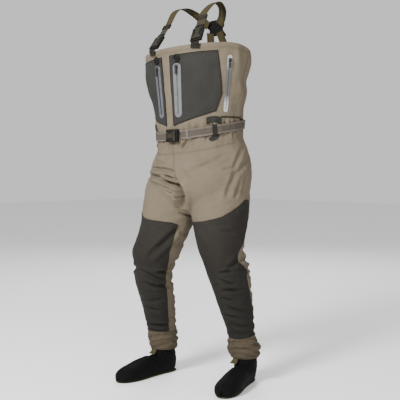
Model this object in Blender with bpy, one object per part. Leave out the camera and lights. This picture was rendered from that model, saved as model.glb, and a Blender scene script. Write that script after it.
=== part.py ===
"""Stocking-foot chest waders in a standing pose: cloth body, neoprene feet, belt, braces and zips.

Metres, +Z up. The wearer faces -Y, and +X is the wearer's left. Angles round the torso and the legs
run in degrees from the front (-Y) towards the wearer's left (+X). Each object is one closed piece.
"""

import math

import bmesh
import bpy
from mathutils import Matrix, Vector

# Clearances and cloth
GAP = 0.0003
LAYER_GAP = 0.0005
FABRIC = 0.0020
NEOPRENE = 0.0040

# Torso: height, half width, half depth, centre in Y
TORSO = (
    (1.36, 0.2540, 0.1645, -0.0212),
    (1.06, 0.2010, 0.1528, -0.0074),
    (1.00, 0.1920, 0.1490, 0.0020),
    (0.94, 0.2085, 0.1600, 0.0140),
    (0.88, 0.2300, 0.1700, 0.0050),
    (0.82, 0.2380, 0.1690, 0.0000),
    (0.76, 0.2280, 0.1520, -0.0050),
    (0.73, 0.2000, 0.1300, -0.0080),
    (0.70, 0.1400, 0.1000, -0.0120),
    (0.685, 0.070, 0.0700, -0.0120),
)
# Legs: height, centre in X, centre in Y, radius
LEGS = {
    "right": (
        (0.860, -0.112, -0.010, 0.1030),
        (0.800, -0.115, -0.030, 0.1180),
        (0.750, -0.117, -0.042, 0.1190),
        (0.700, -0.118, -0.053, 0.1170),
        (0.640, -0.121, -0.068, 0.1100),
        (0.570, -0.128, -0.100, 0.1020),
        (0.520, -0.134, -0.118, 0.1000),
        (0.470, -0.140, -0.124, 0.0830),
        (0.430, -0.146, -0.126, 0.0770),
        (0.370, -0.152, -0.108, 0.0750),
        (0.290, -0.160, -0.081, 0.0680),
        (0.190, -0.168, -0.056, 0.0600),
        (0.120, -0.173, -0.043, 0.0540),
    ),
    "left": (
        (0.860, 0.112, 0.002, 0.1030),
        (0.800, 0.115, -0.004, 0.1180),
        (0.750, 0.117, -0.006, 0.1190),
        (0.700, 0.118, -0.008, 0.1170),
        (0.640, 0.121, -0.008, 0.1090),
        (0.590, 0.126, -0.014, 0.0980),
        (0.540, 0.131, -0.014, 0.0890),
        (0.480, 0.140, 0.006, 0.0880),
        (0.430, 0.146, 0.018, 0.0840),
        (0.370, 0.153, 0.031, 0.0770),
        (0.290, 0.162, 0.046, 0.0670),
        (0.190, 0.172, 0.066, 0.0540),
        (0.120, 0.177, 0.075, 0.0540),
    ),
}
CHEST_KINK = 1.06
TORSO_SIDES = 40
LEG_SIDES = 28
LEG_TOP = 0.64
LEG_END = 0.150

# Dark leg fronts: height, and the angles of the inner and the outer edge
PANEL_EDGES = (
    (0.745, 94, 108),
    (0.712, 72, 110),
    (0.680, 44, 112),
    (0.662, 8, 113),
    (0.650, -52, 113),
    (0.640, -68, 113),
    (0.590, -71, 112),
    (0.530, -74, 84),
    (0.500, -80, 80),
    (0.470, -84, 100),
    (0.430, -86, 94),
    (0.370, -82, 100),
    (0.290, -76, 108),
    (0.190, -73, 103),
)
PANEL_OFFSETS = (0.0043, 0.0031)
PANEL_HIP_LIFT = 0.0055
GUARD_FULNESS = {"right": 0.0030, "left": 0.0075}

# Top edge and belt line
TOP_FRONT = 1.338
TOP_DROP = 0.055
TOP_ROLL = 0.04
HEM_HEIGHT = 0.022
BELT_FRONT = 0.997
BELT_PITCH = 0.17
BELT_ROLL = 0.06
BELT_WIDTH = 0.036
BELT_OFFSETS = (0.0045, 0.0072)
BELT_END_ANGLE = 10.6

# Chest pockets and zips
CHEST_TWIST = -3.0        # the bib is worn turned a little to the wearer's right
POCKET_INNER = 5.4
# Rows of a pocket panel: outer angle, height at its inner edge, height at its outer edge
POCKET_ROWS = ((57.5, 1.306, 1.308), (63.0, 1.205, 1.218), (66.0, 1.062, 1.150), (60.0, 1.036, 1.088))
POCKET_OFFSETS = (0.0020, 0.0034)
FILM_THICKNESS = 0.0010
CHEST_ZIP_ANGLE = 13.6
CHEST_ZIP_HALF_ANGLE = 4.8
CHEST_ZIP_HEIGHTS = (1.068, 1.276)
HAND_ZIP_ANGLE = 73.0
HAND_ZIP_HALF_ANGLE = 4.2
HAND_ZIP_HEIGHTS = (1.086, 1.300)
HAND_FILM_OFFSET = 0.0012
GARAGE_RADIUS = 0.0165
# How far above a chest zip's top the garage sits, and how far below it each slider rests
GARAGE_RISE = 0.0145
CHEST_SLIDER_DROP = 0.014
HAND_SLIDER_DROP = 0.020

# Belt loops
LOOP_ANGLES = {"left": 55.0, "right": -55.0, "back": 180.0}
LOOP_HALF_WIDTH = 0.011
LOOP_REACH = 0.034
LOOP_THICKNESS = 0.0016

# Braces
STRAP_WIDTH = 0.038
STRAP_THICKNESS = 0.0024
STRAP_ANGLES = {"left": 31.0, "right": -21.5}
STRAP_FOOT_RISE = 0.005
STRAP_TURN = 0.10
BUCKLE_START = 0.007
ADJUSTER_PLACE = 0.128
LINE_TOPS = {"left": (0.099, -0.082, 1.480), "right": (-0.092, -0.080, 1.466)}

# Side-release buckle, measured from the face where the plug meets the socket
BUCKLE_HALF_WIDTH = 0.025
BUCKLE_HALF_THICKNESS = 0.006
SOCKET_LENGTH = 0.042
PLUG_LENGTH = 0.022
PRONG_PIVOT = (0.0145, 0.0, 0.0025)
BUCKLE_BEVEL = 0.0018
CAVITY_HALF = 0.0032
WEB_SLOT_HALF = 0.0195    # the webbing's slots in the socket and the plug
# A prong's outline, in millimetres: from its root past the shoulder to the tip
PRONG_OUTLINE = (
    (12.0, 1.0), (17.0, 1.0), (17.4, 11.0), (20.0, 14.0), (24.4, 15.0), (24.4, 20.5),
    (19.0, 26.0), (14.0, 26.0),
)

# Feet: ankle in X and Y, toe-out in degrees
FEET = {"right": (-0.175, -0.044, -2.0), "left": (0.182, 0.074, 19.0)}
SOLE_THICKNESS = 0.0065
ANKLE_HEIGHTS = (0.100, 0.140)  # between these the bootie leans from the foot over to the leg
FOOT_SCALE = 1.03
FLAT_DEPTH = 0.016        # how far the foot's round section would run below its flat sole

SHARP_ANGLE = math.radians(40)  # a steeper edge than this is drawn sharp

COLOURS = {
    "tan_fabric": ((0.30, 0.25, 0.19), 0.85, 0.0),
    "dark_fabric": ((0.060, 0.058, 0.050), 0.8, 0.0),
    "pocket_fabric": ((0.075, 0.073, 0.064), 0.8, 0.0),
    "zip_film": ((0.30, 0.31, 0.33), 0.35, 0.0),
    "zip_metal": ((0.10, 0.10, 0.10), 0.4, 0.0),
    "webbing": ((0.22, 0.18, 0.145), 0.8, 0.0),
    "elastic": ((0.10, 0.085, 0.040), 0.85, 0.0),
    "buckle_plastic": ((0.020, 0.020, 0.016), 0.4, 0.0),
    "yoke_patch": ((0.015, 0.015, 0.014), 0.8, 0.0),
    "neoprene": ((0.006, 0.006, 0.007), 0.9, 0.0),
    "olive_trim": ((0.085, 0.080, 0.035), 0.8, 0.0),
}


# ---------------------------------------------------------------- helpers

def clear_scene():
    for obj in list(bpy.data.objects):
        bpy.data.objects.remove(obj, do_unlink=True)


def make_materials():
    made = {}
    for name, (colour, roughness, metallic) in COLOURS.items():
        material = bpy.data.materials.new(name)
        material.use_nodes = True
        shader = material.node_tree.nodes["Principled BSDF"]
        shader.inputs["Base Color"].default_value = (*colour, 1.0)
        shader.inputs["Roughness"].default_value = roughness
        shader.inputs["Metallic"].default_value = metallic
        made[name] = material
    return made


def add_mesh(name, points, faces, material, frame=Matrix(), pivot=(0, 0, 0)):
    """One object from points in its frame, with its origin at the pivot."""
    mesh = bpy.data.meshes.new(name)
    move = Matrix.Translation(pivot)
    mesh.from_pydata([Vector(point) - Vector(pivot) for point in points], [], faces)
    work = bmesh.new()
    work.from_mesh(mesh)
    bmesh.ops.recalc_face_normals(work, faces=work.faces)
    work.to_mesh(mesh)
    work.free()
    mesh.materials.append(MATERIALS[material])
    mesh.shade_smooth()
    mesh.set_sharp_from_angle(angle=SHARP_ANGLE)
    obj = bpy.data.objects.new(name, mesh)
    bpy.context.collection.objects.link(obj)
    obj.parent = BASE
    obj.matrix_local = frame @ move
    return obj


def hide(obj):
    obj.hide_render = True
    obj.display_type = "WIRE"


def combine(obj, operation, *others):
    """A Boolean modifier on obj for each of the helper objects."""
    for other in others:
        modifier = obj.modifiers.new(other.name, "BOOLEAN")
        modifier.operation = operation
        modifier.object = other
        modifier.solver = "EXACT"
        hide(other)


def block(name, low, high, material, frame, bevel=0.0, pivot=(0, 0, 0)):
    """A box between two corners of the frame, with its edges rounded off."""
    corners = [(x, y, z) for x in (low[0], high[0]) for y in (low[1], high[1]) for z in (low[2], high[2])]
    faces = [(0, 1, 3, 2), (4, 6, 7, 5), (0, 4, 5, 1), (2, 3, 7, 6), (0, 2, 6, 4), (1, 5, 7, 3)]
    obj = add_mesh(name, corners, faces, material, frame, pivot)
    if bevel:
        rounding = obj.modifiers.new("rounding", "BEVEL")
        rounding.width = bevel
        rounding.segments = 2
    return obj


def plate(name, outline, low, high, material, frame, bevel=0.0, pivot=(0, 0, 0)):
    """An outline in the frame's X and Z, as thick as from low to high in Y."""
    count = len(outline)
    points = [(x, low, z) for x, z in outline] + [(x, high, z) for x, z in outline]
    faces = [tuple(range(count)), tuple(range(2 * count - 1, count - 1, -1))]
    faces += [(i, (i + 1) % count, count + (i + 1) % count, count + i) for i in range(count)]
    obj = add_mesh(name, points, faces, material, frame, pivot)
    if bevel:
        rounding = obj.modifiers.new("rounding", "BEVEL")
        rounding.width = bevel
        rounding.segments = 1
        rounding.limit_method = "ANGLE"
    return obj


def rod(name, radius, start, end, material, frame, sides=12, pivot=(0, 0, 0)):
    """A round bar along the frame's X, between two X values through the point (0, y, z)."""
    (x_start, y, z), x_end = start, end
    ring = [(math.cos(2 * math.pi * i / sides), math.sin(2 * math.pi * i / sides)) for i in range(sides)]
    points = [(x, y + radius * c, z + radius * s) for x in (x_start, x_end) for c, s in ring]
    faces = [tuple(range(sides)), tuple(range(2 * sides - 1, sides - 1, -1))]
    faces += [(i, (i + 1) % sides, sides + (i + 1) % sides, sides + i) for i in range(sides)]
    return add_mesh(name, points, faces, material, frame, pivot)


def grid_solid(name, outer, inner, material, closed):
    """A closed skin between two grids of points; closed joins the last column to the first."""
    rows, columns = len(outer), len(outer[0])
    points = [point for grid in (outer, inner) for row in grid for point in row]

    def index(grid, row, column):
        return grid * rows * columns + row * columns + column % columns

    faces = []
    for row in range(rows - 1):
        for column in range(columns if closed else columns - 1):
            for grid in (0, 1):
                faces.append(tuple(
                    index(grid, r, c)
                    for r, c in ((row, column), (row, column + 1), (row + 1, column + 1), (row + 1, column))
                ))
    for row in (0, rows - 1):
        for column in range(columns if closed else columns - 1):
            faces.append((index(0, row, column), index(0, row, column + 1),
                          index(1, row, column + 1), index(1, row, column)))
    if not closed:
        for column in (0, columns - 1):
            for row in range(rows - 1):
                faces.append((index(0, row, column), index(0, row + 1, column),
                              index(1, row + 1, column), index(1, row, column)))
    return add_mesh(name, points, faces, material)


def loft_solid(name, rings, material):
    """A closed solid through rings of points, capped at both ends."""
    sides = len(rings[0])
    points = [point for ring in rings for point in ring]
    faces = [tuple(range(sides)), tuple(range(len(points) - sides, len(points)))]
    for row in range(len(rings) - 1):
        for i in range(sides):
            j = (i + 1) % sides
            faces.append((row * sides + i, row * sides + j, (row + 1) * sides + j, (row + 1) * sides + i))
    return add_mesh(name, points, faces, material)


def smooth_path(points, steps):
    """Catmull-Rom points through hand-set ones."""
    points = [Vector(point) for point in points]
    ends = [2 * points[0] - points[1]] + points + [2 * points[-1] - points[-2]]
    path = []
    for before, start, end, after in zip(ends, ends[1:], ends[2:], ends[3:]):
        for step in range(steps):
            t = step / steps
            path.append(0.5 * (
                2 * start + (end - before) * t
                + (2 * before - 5 * start + 4 * end - after) * t * t
                + (3 * start - before - 3 * end + after) * t ** 3
            ))
    return path + [points[-1]]


def ribbon(name, route, across, material, steps=4, width=STRAP_WIDTH, thickness=STRAP_THICKNESS):
    """A flat band along a route, with the direction of its width given at each point of the route."""
    path = smooth_path(route, steps)
    widths = smooth_path(across, steps)
    rings = []
    for i, centre in enumerate(path):
        along = (path[min(i + 1, len(path) - 1)] - path[max(i - 1, 0)]).normalized()
        side = (widths[i] - along * widths[i].dot(along)).normalized() * (width / 2)
        up = side.cross(along).normalized() * (thickness / 2)
        rings.append([centre + side + up, centre - side + up, centre - side - up, centre + side - up])
    return loft_solid(name, rings, material)


def at(rows, height):
    """A table's row at this height, by straight lines between its rows."""
    for upper, lower in zip(rows, rows[1:]):
        if height >= lower[0]:
            break
    share = (height - lower[0]) / (upper[0] - lower[0])
    return [low + (up - low) * share for up, low in zip(upper[1:], lower[1:])]


# ---------------------------------------------------------------- surfaces

def torso_point(angle, height, offset=0.0):
    half_width, half_depth, centre_y = at(TORSO, height)
    turn = math.radians(angle)
    x = (half_width + offset) * math.sin(turn)
    y = centre_y - (half_depth + offset) * math.cos(turn)
    return Vector((x, y, height))


def leg_point(side, angle, height, offset=0.0):
    centre_x, centre_y, radius = at(LEGS[side], height)
    turn = math.radians(angle)
    x = centre_x + (radius + offset) * math.sin(turn)
    y = centre_y - (radius + offset) * math.cos(turn)
    return Vector((x, y, height))


def thigh_point(side, angle, height, offset):
    """A point on the leg, or on the hip where the hip stands further out."""
    centre_x, centre_y, radius = at(LEGS[side], height)
    direction = Vector((math.sin(math.radians(angle)), -math.cos(math.radians(angle)), 0))
    half_width, half_depth, torso_y = at(TORSO, max(height, TORSO[-1][0]))
    step = (direction.x / half_width, direction.y / half_depth)
    start = (centre_x / half_width, (centre_y - torso_y) / half_depth)
    a = step[0] ** 2 + step[1] ** 2
    b = start[0] * step[0] + start[1] * step[1]
    c = start[0] ** 2 + start[1] ** 2 - 1
    reach = radius
    if height > LEG_TOP and b * b > a * c:
        reach = max(reach, (math.sqrt(b * b - a * c) - b) / a)
    return Vector((centre_x, centre_y, height)) + direction * (reach + offset)


def top_height(angle):
    """Height of the bib's top edge, lower at the back."""
    away = min(abs(angle), 360 - abs(angle))
    share = min(max((away - 60) / 120, 0), 1)
    rise = TOP_ROLL * torso_point(angle, TOP_FRONT).x
    return TOP_FRONT + rise - TOP_DROP * share * share * (3 - 2 * share)


def belt_height(angle):
    """Height of the belt's middle, which rises to the back and to the wearer's left."""
    point = torso_point(angle, BELT_FRONT)
    front = torso_point(0, BELT_FRONT)
    return BELT_FRONT + BELT_PITCH * (point.y - front.y) + BELT_ROLL * point.x


def turns(sides):
    return [360 * i / sides for i in range(sides)]


def between(low, high, count):
    return [low + (high - low) * i / (count - 1) for i in range(count)]


def torso_frame(angle, height, offset):
    """X along the waist, Y outwards, Z down the cloth."""
    place = torso_point(angle, height, offset)
    across = (torso_point(angle + 0.5, height) - torso_point(angle - 0.5, height)).normalized()
    down = (torso_point(angle, height - 0.01) - torso_point(angle, height + 0.01)).normalized()
    return frame_of(across, down, place)


def frame_of(x_axis, z_axis, place):
    """A frame with this Z, and X as near as it can be to this one."""
    z_axis = Vector(z_axis).normalized()
    y_axis = z_axis.cross(Vector(x_axis)).normalized()
    x_axis = y_axis.cross(z_axis)
    return Matrix.Translation(place) @ Matrix((x_axis, y_axis, z_axis)).transposed().to_4x4()


# ---------------------------------------------------------------- cloth body

def make_bib():
    heights = (lambda a: belt_height(a) + GAP, lambda a: CHEST_KINK, lambda a: 1.20, top_height)
    grids = []
    for offset in (0.0, -FABRIC):
        grids.append([[torso_point(a, height(a), offset) for a in turns(TORSO_SIDES)] for height in heights])
    grid_solid("bib_shell", grids[0], grids[1], "tan_fabric", closed=True)


def hip_rings(offset, top_rise, drop):
    rings = [[torso_point(a, belt_height(a) + top_rise, offset) for a in turns(TORSO_SIDES)]]
    for row in TORSO[3:]:
        height = row[0] + drop * (row is TORSO[-1])
        rings.append([torso_point(a, height, offset) for a in turns(TORSO_SIDES)])
    return rings


def leg_rings(side, offset, bottom):
    heights = [row[0] for row in LEGS[side] if row[0] > LEG_TOP] + [bottom]
    heights[0] += offset
    return [[leg_point(side, a, height, offset) for a in turns(LEG_SIDES)] for height in heights]


def make_seat():
    """Hips and crotch as one skin: the outer shapes joined, less the same shapes a cloth's thickness in."""
    seat = loft_solid("seat_shell", hip_rings(0.0, -GAP, 0.0), "tan_fabric")
    outer, inner = [], [loft_solid("hips_inner", hip_rings(-FABRIC, 0.03, FABRIC), "tan_fabric")]
    for side in LEGS:
        outer.append(loft_solid(f"{side}_thigh_outer", leg_rings(side, 0.0, LEG_TOP), "tan_fabric"))
        rings = leg_rings(side, -FABRIC, LEG_TOP - 0.02)
        inner.append(loft_solid(f"{side}_thigh_inner", rings, "tan_fabric"))
    combine(seat, "UNION", *outer)
    combine(seat, "DIFFERENCE", *inner)


def make_leg(side):
    heights = [LEG_TOP - GAP]
    heights += [row[0] for row in LEGS[side] if LEG_END < row[0] < LEG_TOP] + [LEG_END]
    grids = []
    for offset in (0.0, -FABRIC):
        grids.append([[leg_point(side, a, z, offset) for a in turns(LEG_SIDES)] for z in heights])
    grid_solid(f"{side}_leg_shell", grids[0], grids[1], "tan_fabric", closed=True)


def make_leg_panel(side):
    """The dark front of a leg, which climbs over the hip on the outer side."""
    outward = 1 if side == "left" else -1
    knots = {row[0] for row in LEGS[side] + TORSO} | {row[0] for row in PANEL_EDGES} | {0.653, 0.656, 0.659}
    heights = sorted((z for z in knots if PANEL_EDGES[-1][0] <= z <= PANEL_EDGES[0][0]), reverse=True)
    grids = []
    for offset in PANEL_OFFSETS:
        grid = []
        for height in heights:
            start, end = at(PANEL_EDGES, height)
            lift = PANEL_HIP_LIFT * min(max((height - LEG_TOP) / 0.01, 0), 1)
            angles = between(start, end, 15)
            grid.append([thigh_point(side, outward * a, height, offset + lift) for a in angles])
        grids.append(grid)
    grid_solid(f"{side}_leg_panel", grids[0], grids[1], "dark_fabric", closed=False)


def make_gravel_guard(side):
    """A bulging cuff over the bottom of the leg, drawn in at its hem."""
    shape = ((0.187, 0.0012, 0.0), (0.174, 0.0012, 0.5), (0.157, 0.0012, 1.0), (0.140, 0.0012, 1.0),
             (0.122, 0.0012, 0.6), (0.106, 0.0012, 0.1))
    grids = []
    for depth in (FABRIC, 0.0):
        grid = []
        for height, gap, fulness in shape:
            out = gap + GUARD_FULNESS[side] * fulness + depth
            grid.append([leg_point(side, a, height, out) for a in turns(LEG_SIDES)])
        grids.append(grid)
    grid_solid(f"{side}_gravel_guard", grids[0], grids[1], "tan_fabric", closed=True)


def make_top_hem():
    grids = []
    for offset in (0.0018, 0.0006):
        rows = []
        for drop in (0.0, HEM_HEIGHT):
            rows.append([torso_point(a, top_height(a) - drop, offset) for a in turns(TORSO_SIDES)])
        grids.append(rows)
    grid_solid("top_hem", grids[0], grids[1], "tan_fabric", closed=True)


# ---------------------------------------------------------------- chest pockets and zips

def make_chest_pocket(side):
    sign = 1 if side == "left" else -1
    grids = []
    for offset in POCKET_OFFSETS[::-1]:
        rows = []
        for outer, inner_height, outer_height in POCKET_ROWS:
            row = []
            for share in between(0, 1, 9):
                angle = CHEST_TWIST + sign * (POCKET_INNER + (outer - POCKET_INNER) * share)
                height = inner_height + (outer_height - inner_height) * share
                height += TOP_ROLL * torso_point(angle, height).x * (height - 1.0) / 0.3
                row.append(torso_point(angle, height, offset))
            rows.append(row)
        grids.append(rows)
    grid_solid(f"{side}_chest_pocket", grids[0], grids[1], "pocket_fabric", closed=False)


def make_film(name, angle, half_angle, heights, offset):
    """A welded strip with round ends over a zip."""
    low, high = heights
    half_width = math.radians(half_angle) * 0.22
    rows = []
    for share in (0, 0.25, 0.6, 1):
        rows.append((low + half_width * (1 - math.cos(math.pi / 2 * share)), math.sin(math.pi / 2 * share)))
    rows[0] = (low, 0.12)
    rows += [(high - (z - low), width) for z, width in rows[::-1]]
    grids = []
    for depth in (FILM_THICKNESS, 0.0):
        grid = []
        for z, width in rows[::-1]:
            spread = between(-half_angle * width, half_angle * width, 5)
            grid.append([torso_point(angle + a, z, offset + depth) for a in spread])
        grids.append(grid)
    grid_solid(name, grids[0], grids[1], "zip_film", closed=False)


def make_garage(name, angle, height, offset):
    """A round moulded cap that the closed slider parks under, open on its lower side."""
    frame = torso_frame(angle, height, offset)
    ring = [math.radians(a) for a in range(0, 360, 20)]
    outline = [(GARAGE_RADIUS * math.sin(a), -0.004 - GARAGE_RADIUS * math.cos(a)) for a in ring]
    plate(name, outline, 0.0, 0.0042, "buckle_plastic", frame, bevel=0.0012)


def make_slider(name, angle, height, offset):
    """A slider with two lugs and the pin that its pull swings on."""
    frame = torso_frame(angle, height, offset)
    body = block(f"{name}_slider", (-0.006, 0, -0.008), (0.006, 0.0035, 0.008), "zip_metal", frame, 0.0008)
    lugs = [
        block(f"{name}_lug_{i}", (x, 0.002, -0.001), (x + 0.0014, 0.0080, 0.005), "zip_metal", frame)
        for i, x in enumerate((-0.0050, 0.0036))
    ]
    pin = rod(f"{name}_pin", 0.0009, (-0.0045, 0.0062, 0.002), 0.0045, "zip_metal", frame)
    combine(body, "UNION", *lugs, pin)
    pivot = (0, 0.0062, 0.002)
    outline = [(-0.0030, 0.0025), (-0.0030, 0.008), (-0.0045, 0.011), (-0.0045, 0.026), (-0.003, 0.029)]
    outline += [(-x, z) for x, z in outline[::-1]]
    pull = plate(f"{name}_pull", outline, 0.0052, 0.0070, "zip_metal", frame, pivot=pivot)
    eye = rod(f"{name}_eye", 0.0022, (-0.0030, 0.0062, 0.002), 0.0030, "zip_metal", frame)
    hole = rod(f"{name}_eye_hole", 0.0013, (-0.006, 0.0062, 0.002), 0.006, "zip_metal", frame)
    combine(pull, "UNION", eye)
    combine(pull, "DIFFERENCE", hole)


def make_zips(side):
    sign = 1 if side == "left" else -1
    chest_film = POCKET_OFFSETS[1] + LAYER_GAP
    film_top = chest_film + FILM_THICKNESS
    angle = CHEST_TWIST + sign * CHEST_ZIP_ANGLE
    make_film(f"{side}_chest_zip", angle, CHEST_ZIP_HALF_ANGLE, CHEST_ZIP_HEIGHTS, chest_film)
    make_garage(f"{side}_zip_garage", angle, CHEST_ZIP_HEIGHTS[1] + GARAGE_RISE, chest_film + 0.0004)
    make_slider(f"{side}_chest_zip", angle, CHEST_ZIP_HEIGHTS[1] - CHEST_SLIDER_DROP, film_top + LAYER_GAP)
    angle = CHEST_TWIST + sign * HAND_ZIP_ANGLE
    make_film(f"{side}_hand_zip", angle, HAND_ZIP_HALF_ANGLE, HAND_ZIP_HEIGHTS, HAND_FILM_OFFSET)
    film_top = HAND_FILM_OFFSET + FILM_THICKNESS
    make_slider(f"{side}_hand_zip", angle, HAND_ZIP_HEIGHTS[1] - HAND_SLIDER_DROP, film_top + LAYER_GAP)


# ---------------------------------------------------------------- belt

def make_belt():
    angles = [BELT_END_ANGLE] + [9 * i for i in range(2, 39)] + [360 - BELT_END_ANGLE]
    edges = (BELT_WIDTH / 2, -BELT_WIDTH / 2)
    grids = []
    for offset in BELT_OFFSETS[::-1]:
        grids.append([[torso_point(a, belt_height(a) + rise, offset) for a in angles] for rise in edges])
    grid_solid("waist_belt", grids[0], grids[1], "webbing", closed=False)


def make_belt_loop(place, angle):
    """A loop that stands off over the belt, and lies on the cloth above and below it."""
    middle = belt_height(angle)
    spread = math.degrees(LOOP_HALF_WIDTH / 0.17)
    over_belt = BELT_OFFSETS[1] + LAYER_GAP
    stand = over_belt + 0.0004
    steps = ((LOOP_REACH, 0.0012), (0.025, 0.0025), (0.019, stand), (-0.019, stand), (-0.025, 0.0025))
    steps += ((-LOOP_REACH, 0.0012),)
    grids = []
    for depth in (LOOP_THICKNESS, 0.0):
        grid = []
        for rise, offset in steps:
            out = offset + depth
            grid.append([torso_point(angle + a, middle + rise, out) for a in between(-spread, spread, 4)])
        grids.append(grid)
    grid_solid(f"{place}_belt_loop", grids[0], grids[1], "dark_fabric", closed=False)


def make_loop_patch(side, angle):
    """The bar-shaped reinforcement above a side loop, with drooping ends."""
    middle = belt_height(angle) + LOOP_REACH + 0.001
    grids = []
    for offset in (0.0026, 0.0012):
        grid = []
        for top in (True, False):
            row = []
            for share in between(-1, 1, 9):
                droop = 0.006 * share * share
                height = middle + (0.018 - droop if top else 0.004 * (abs(share) < 0.6) - droop * 0.6)
                row.append(torso_point(angle + 9 * share, height, offset))
            grid.append(row)
        grids.append(grid)
    grid_solid(f"{side}_loop_patch", grids[0], grids[1], "dark_fabric", closed=False)


# ---------------------------------------------------------------- side-release buckles

def make_buckle(name, frame):
    """Socket, plug and two squeeze prongs; Z runs from the plug to the socket and Y outwards."""
    width, half = BUCKLE_HALF_WIDTH, BUCKLE_HALF_THICKNESS
    through = half + 0.004
    plastic = "buckle_plastic"

    def box(label, low, high, bevel=0.0):
        return block(f"{name}_{label}", low, high, plastic, frame, bevel)

    socket = box("socket", (-width, -half, 0), (width, half, SOCKET_LENGTH), BUCKLE_BEVEL)
    cavity = box("cavity", (-0.021, -CAVITY_HALF, -0.01), (0.021, CAVITY_HALF, 0.028))
    window = box("window", (-0.03, -CAVITY_HALF, 0.0125), (0.03, CAVITY_HALF, 0.0275))
    slot = box("socket_slot", (-WEB_SLOT_HALF, -through, 0.0325), (WEB_SLOT_HALF, through, 0.0370))
    combine(socket, "DIFFERENCE", cavity, window, slot)

    plug = box("plug", (-width, -half, -PLUG_LENGTH), (width, half, -0.0004), BUCKLE_BEVEL)
    tongue = box("tongue", (-0.004, -0.0020, -0.004), (0.004, 0.0020, 0.024))
    slot = box("plug_slot", (-WEB_SLOT_HALF, -through, -0.0165), (WEB_SLOT_HALF, through, -0.0120))
    combine(plug, "UNION", tongue)
    combine(plug, "DIFFERENCE", slot)

    for side, sign in (("a", 1), ("b", -1)):
        outline = [(sign * x / 1000, z / 1000) for x, z in PRONG_OUTLINE]
        pivot = (sign * PRONG_PIVOT[0], PRONG_PIVOT[1], PRONG_PIVOT[2])
        plate(f"{name}_prong_{side}", outline, -0.0024, 0.0024, "buckle_plastic", frame, pivot=pivot)


def make_belt_buckle():
    height = belt_height(0)
    offset = BELT_OFFSETS[0] + BUCKLE_HALF_THICKNESS + 0.001
    place = torso_point(0, height, offset) + Vector(((PLUG_LENGTH - SOCKET_LENGTH) / 2, 0, 0))
    make_buckle("belt_buckle", frame_of((0, 0, 1), (1, 0, 0), place))


# ---------------------------------------------------------------- braces

def strap_line(side):
    """Foot and unit direction of the straight stretch that holds a strap's buckle and adjuster."""
    angle = STRAP_ANGLES[side]
    foot = torso_point(angle, top_height(angle) + STRAP_FOOT_RISE, 0.005)
    top = Vector(LINE_TOPS[side])
    return foot, (top - foot).normalized(), top


def make_adjuster(side, frame):
    """A tri-glide: a frame round the strap with a bar across its open front."""
    name = f"{side}_strap_adjuster"
    body = block(name, (-0.023, -0.0034, -0.011), (0.023, 0.0034, 0.011), "buckle_plastic", frame, 0.0012)
    low, high = (-0.0202, -0.0019, -0.02), (0.0202, 0.0019, 0.02)
    channel = block(f"{side}_channel", low, high, "buckle_plastic", frame)
    cuts = [channel]
    for i, z in enumerate((-0.0085, 0.0020)):
        low, high = (-0.0185, 0.0, z), (0.0185, 0.01, z + 0.0065)
        cuts.append(block(f"{side}_adjuster_window_{i}", low, high, "buckle_plastic", frame))
    combine(body, "DIFFERENCE", *cuts)


def make_brace(side):
    sign = 1 if side == "left" else -1
    foot, up, top = strap_line(side)
    across = Vector((1, sign * STRAP_TURN, 0))
    face = foot + up * (BUCKLE_START + SOCKET_LENGTH)
    make_buckle(f"{side}_strap_buckle", frame_of(across, -up, face))

    angle = STRAP_ANGLES[side]
    tab = [torso_point(angle, foot.z - drop, 0.0065) for drop in (0.022, 0.013)]
    tab += [foot - up * 0.004 + Vector((0, -0.0008, 0)), foot + up * (BUCKLE_START - 0.0015)]
    tangent = torso_frame(angle, foot.z, 0).to_3x3().col[0]
    ribbon(f"{side}_strap_tab", tab, [tangent, tangent, across, across], "elastic", steps=3)

    strap_start = foot + up * (BUCKLE_START + SOCKET_LENGTH + PLUG_LENGTH + GAP)
    route = [strap_start, top - up * 0.01, top, (sign * 0.100, -0.043, 1.512), (sign * 0.093, 0.002, 1.529)]
    route += [(sign * 0.080, 0.045, 1.515), (sign * 0.055, 0.073, 1.487), (sign * 0.031, 0.083, 1.462)]
    widths = [across, across, across, (1, 0, 0), (1, 0, 0)]
    widths += [(0.95, 0.10 * sign, -0.25 * sign), (0.85, 0.15 * sign, -0.45 * sign)]
    widths += [(0.74, 0.2 * sign, -0.63 * sign)]
    ribbon(f"{side}_shoulder_strap", route, widths, "elastic", steps=5)
    make_adjuster(side, frame_of(across, -up, foot + up * ADJUSTER_PLACE))

    route = [(sign * 0.025, 0.0895, 1.432), (sign * 0.037, 0.106, 1.385), (sign * 0.053, 0.130, 1.335)]
    route += [(sign * 0.064, 0.1445, 1.302), (sign * 0.069, 0.1455, 1.280), (sign * 0.073, 0.1435, 1.250)]
    widths = [(0.95, -0.1 * sign, 0.25 * sign), (1, -0.1 * sign, 0.2 * sign), (1, -0.2 * sign, 0.1 * sign)]
    widths += [(0.98, -0.21 * sign, 0)] * 3
    ribbon(f"{side}_back_strap", route, widths, "elastic", steps=4)


def make_yoke():
    """The stitched patch behind the neck that joins the four straps."""
    frame = frame_of((1, 0, 0), (0, 0.20, -1), (0, 0.0955, 1.449))
    outline = [(-0.026, -0.034), (-0.046, -0.020), (-0.046, -0.006), (-0.036, 0.006), (-0.050, 0.030)]
    outline += [(-0.042, 0.036), (-0.018, 0.030)]
    outline += [(-x, z) for x, z in outline[::-1]]
    plate("back_yoke", outline, -0.0030, 0.0, "yoke_patch", frame)


# ---------------------------------------------------------------- feet

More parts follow.
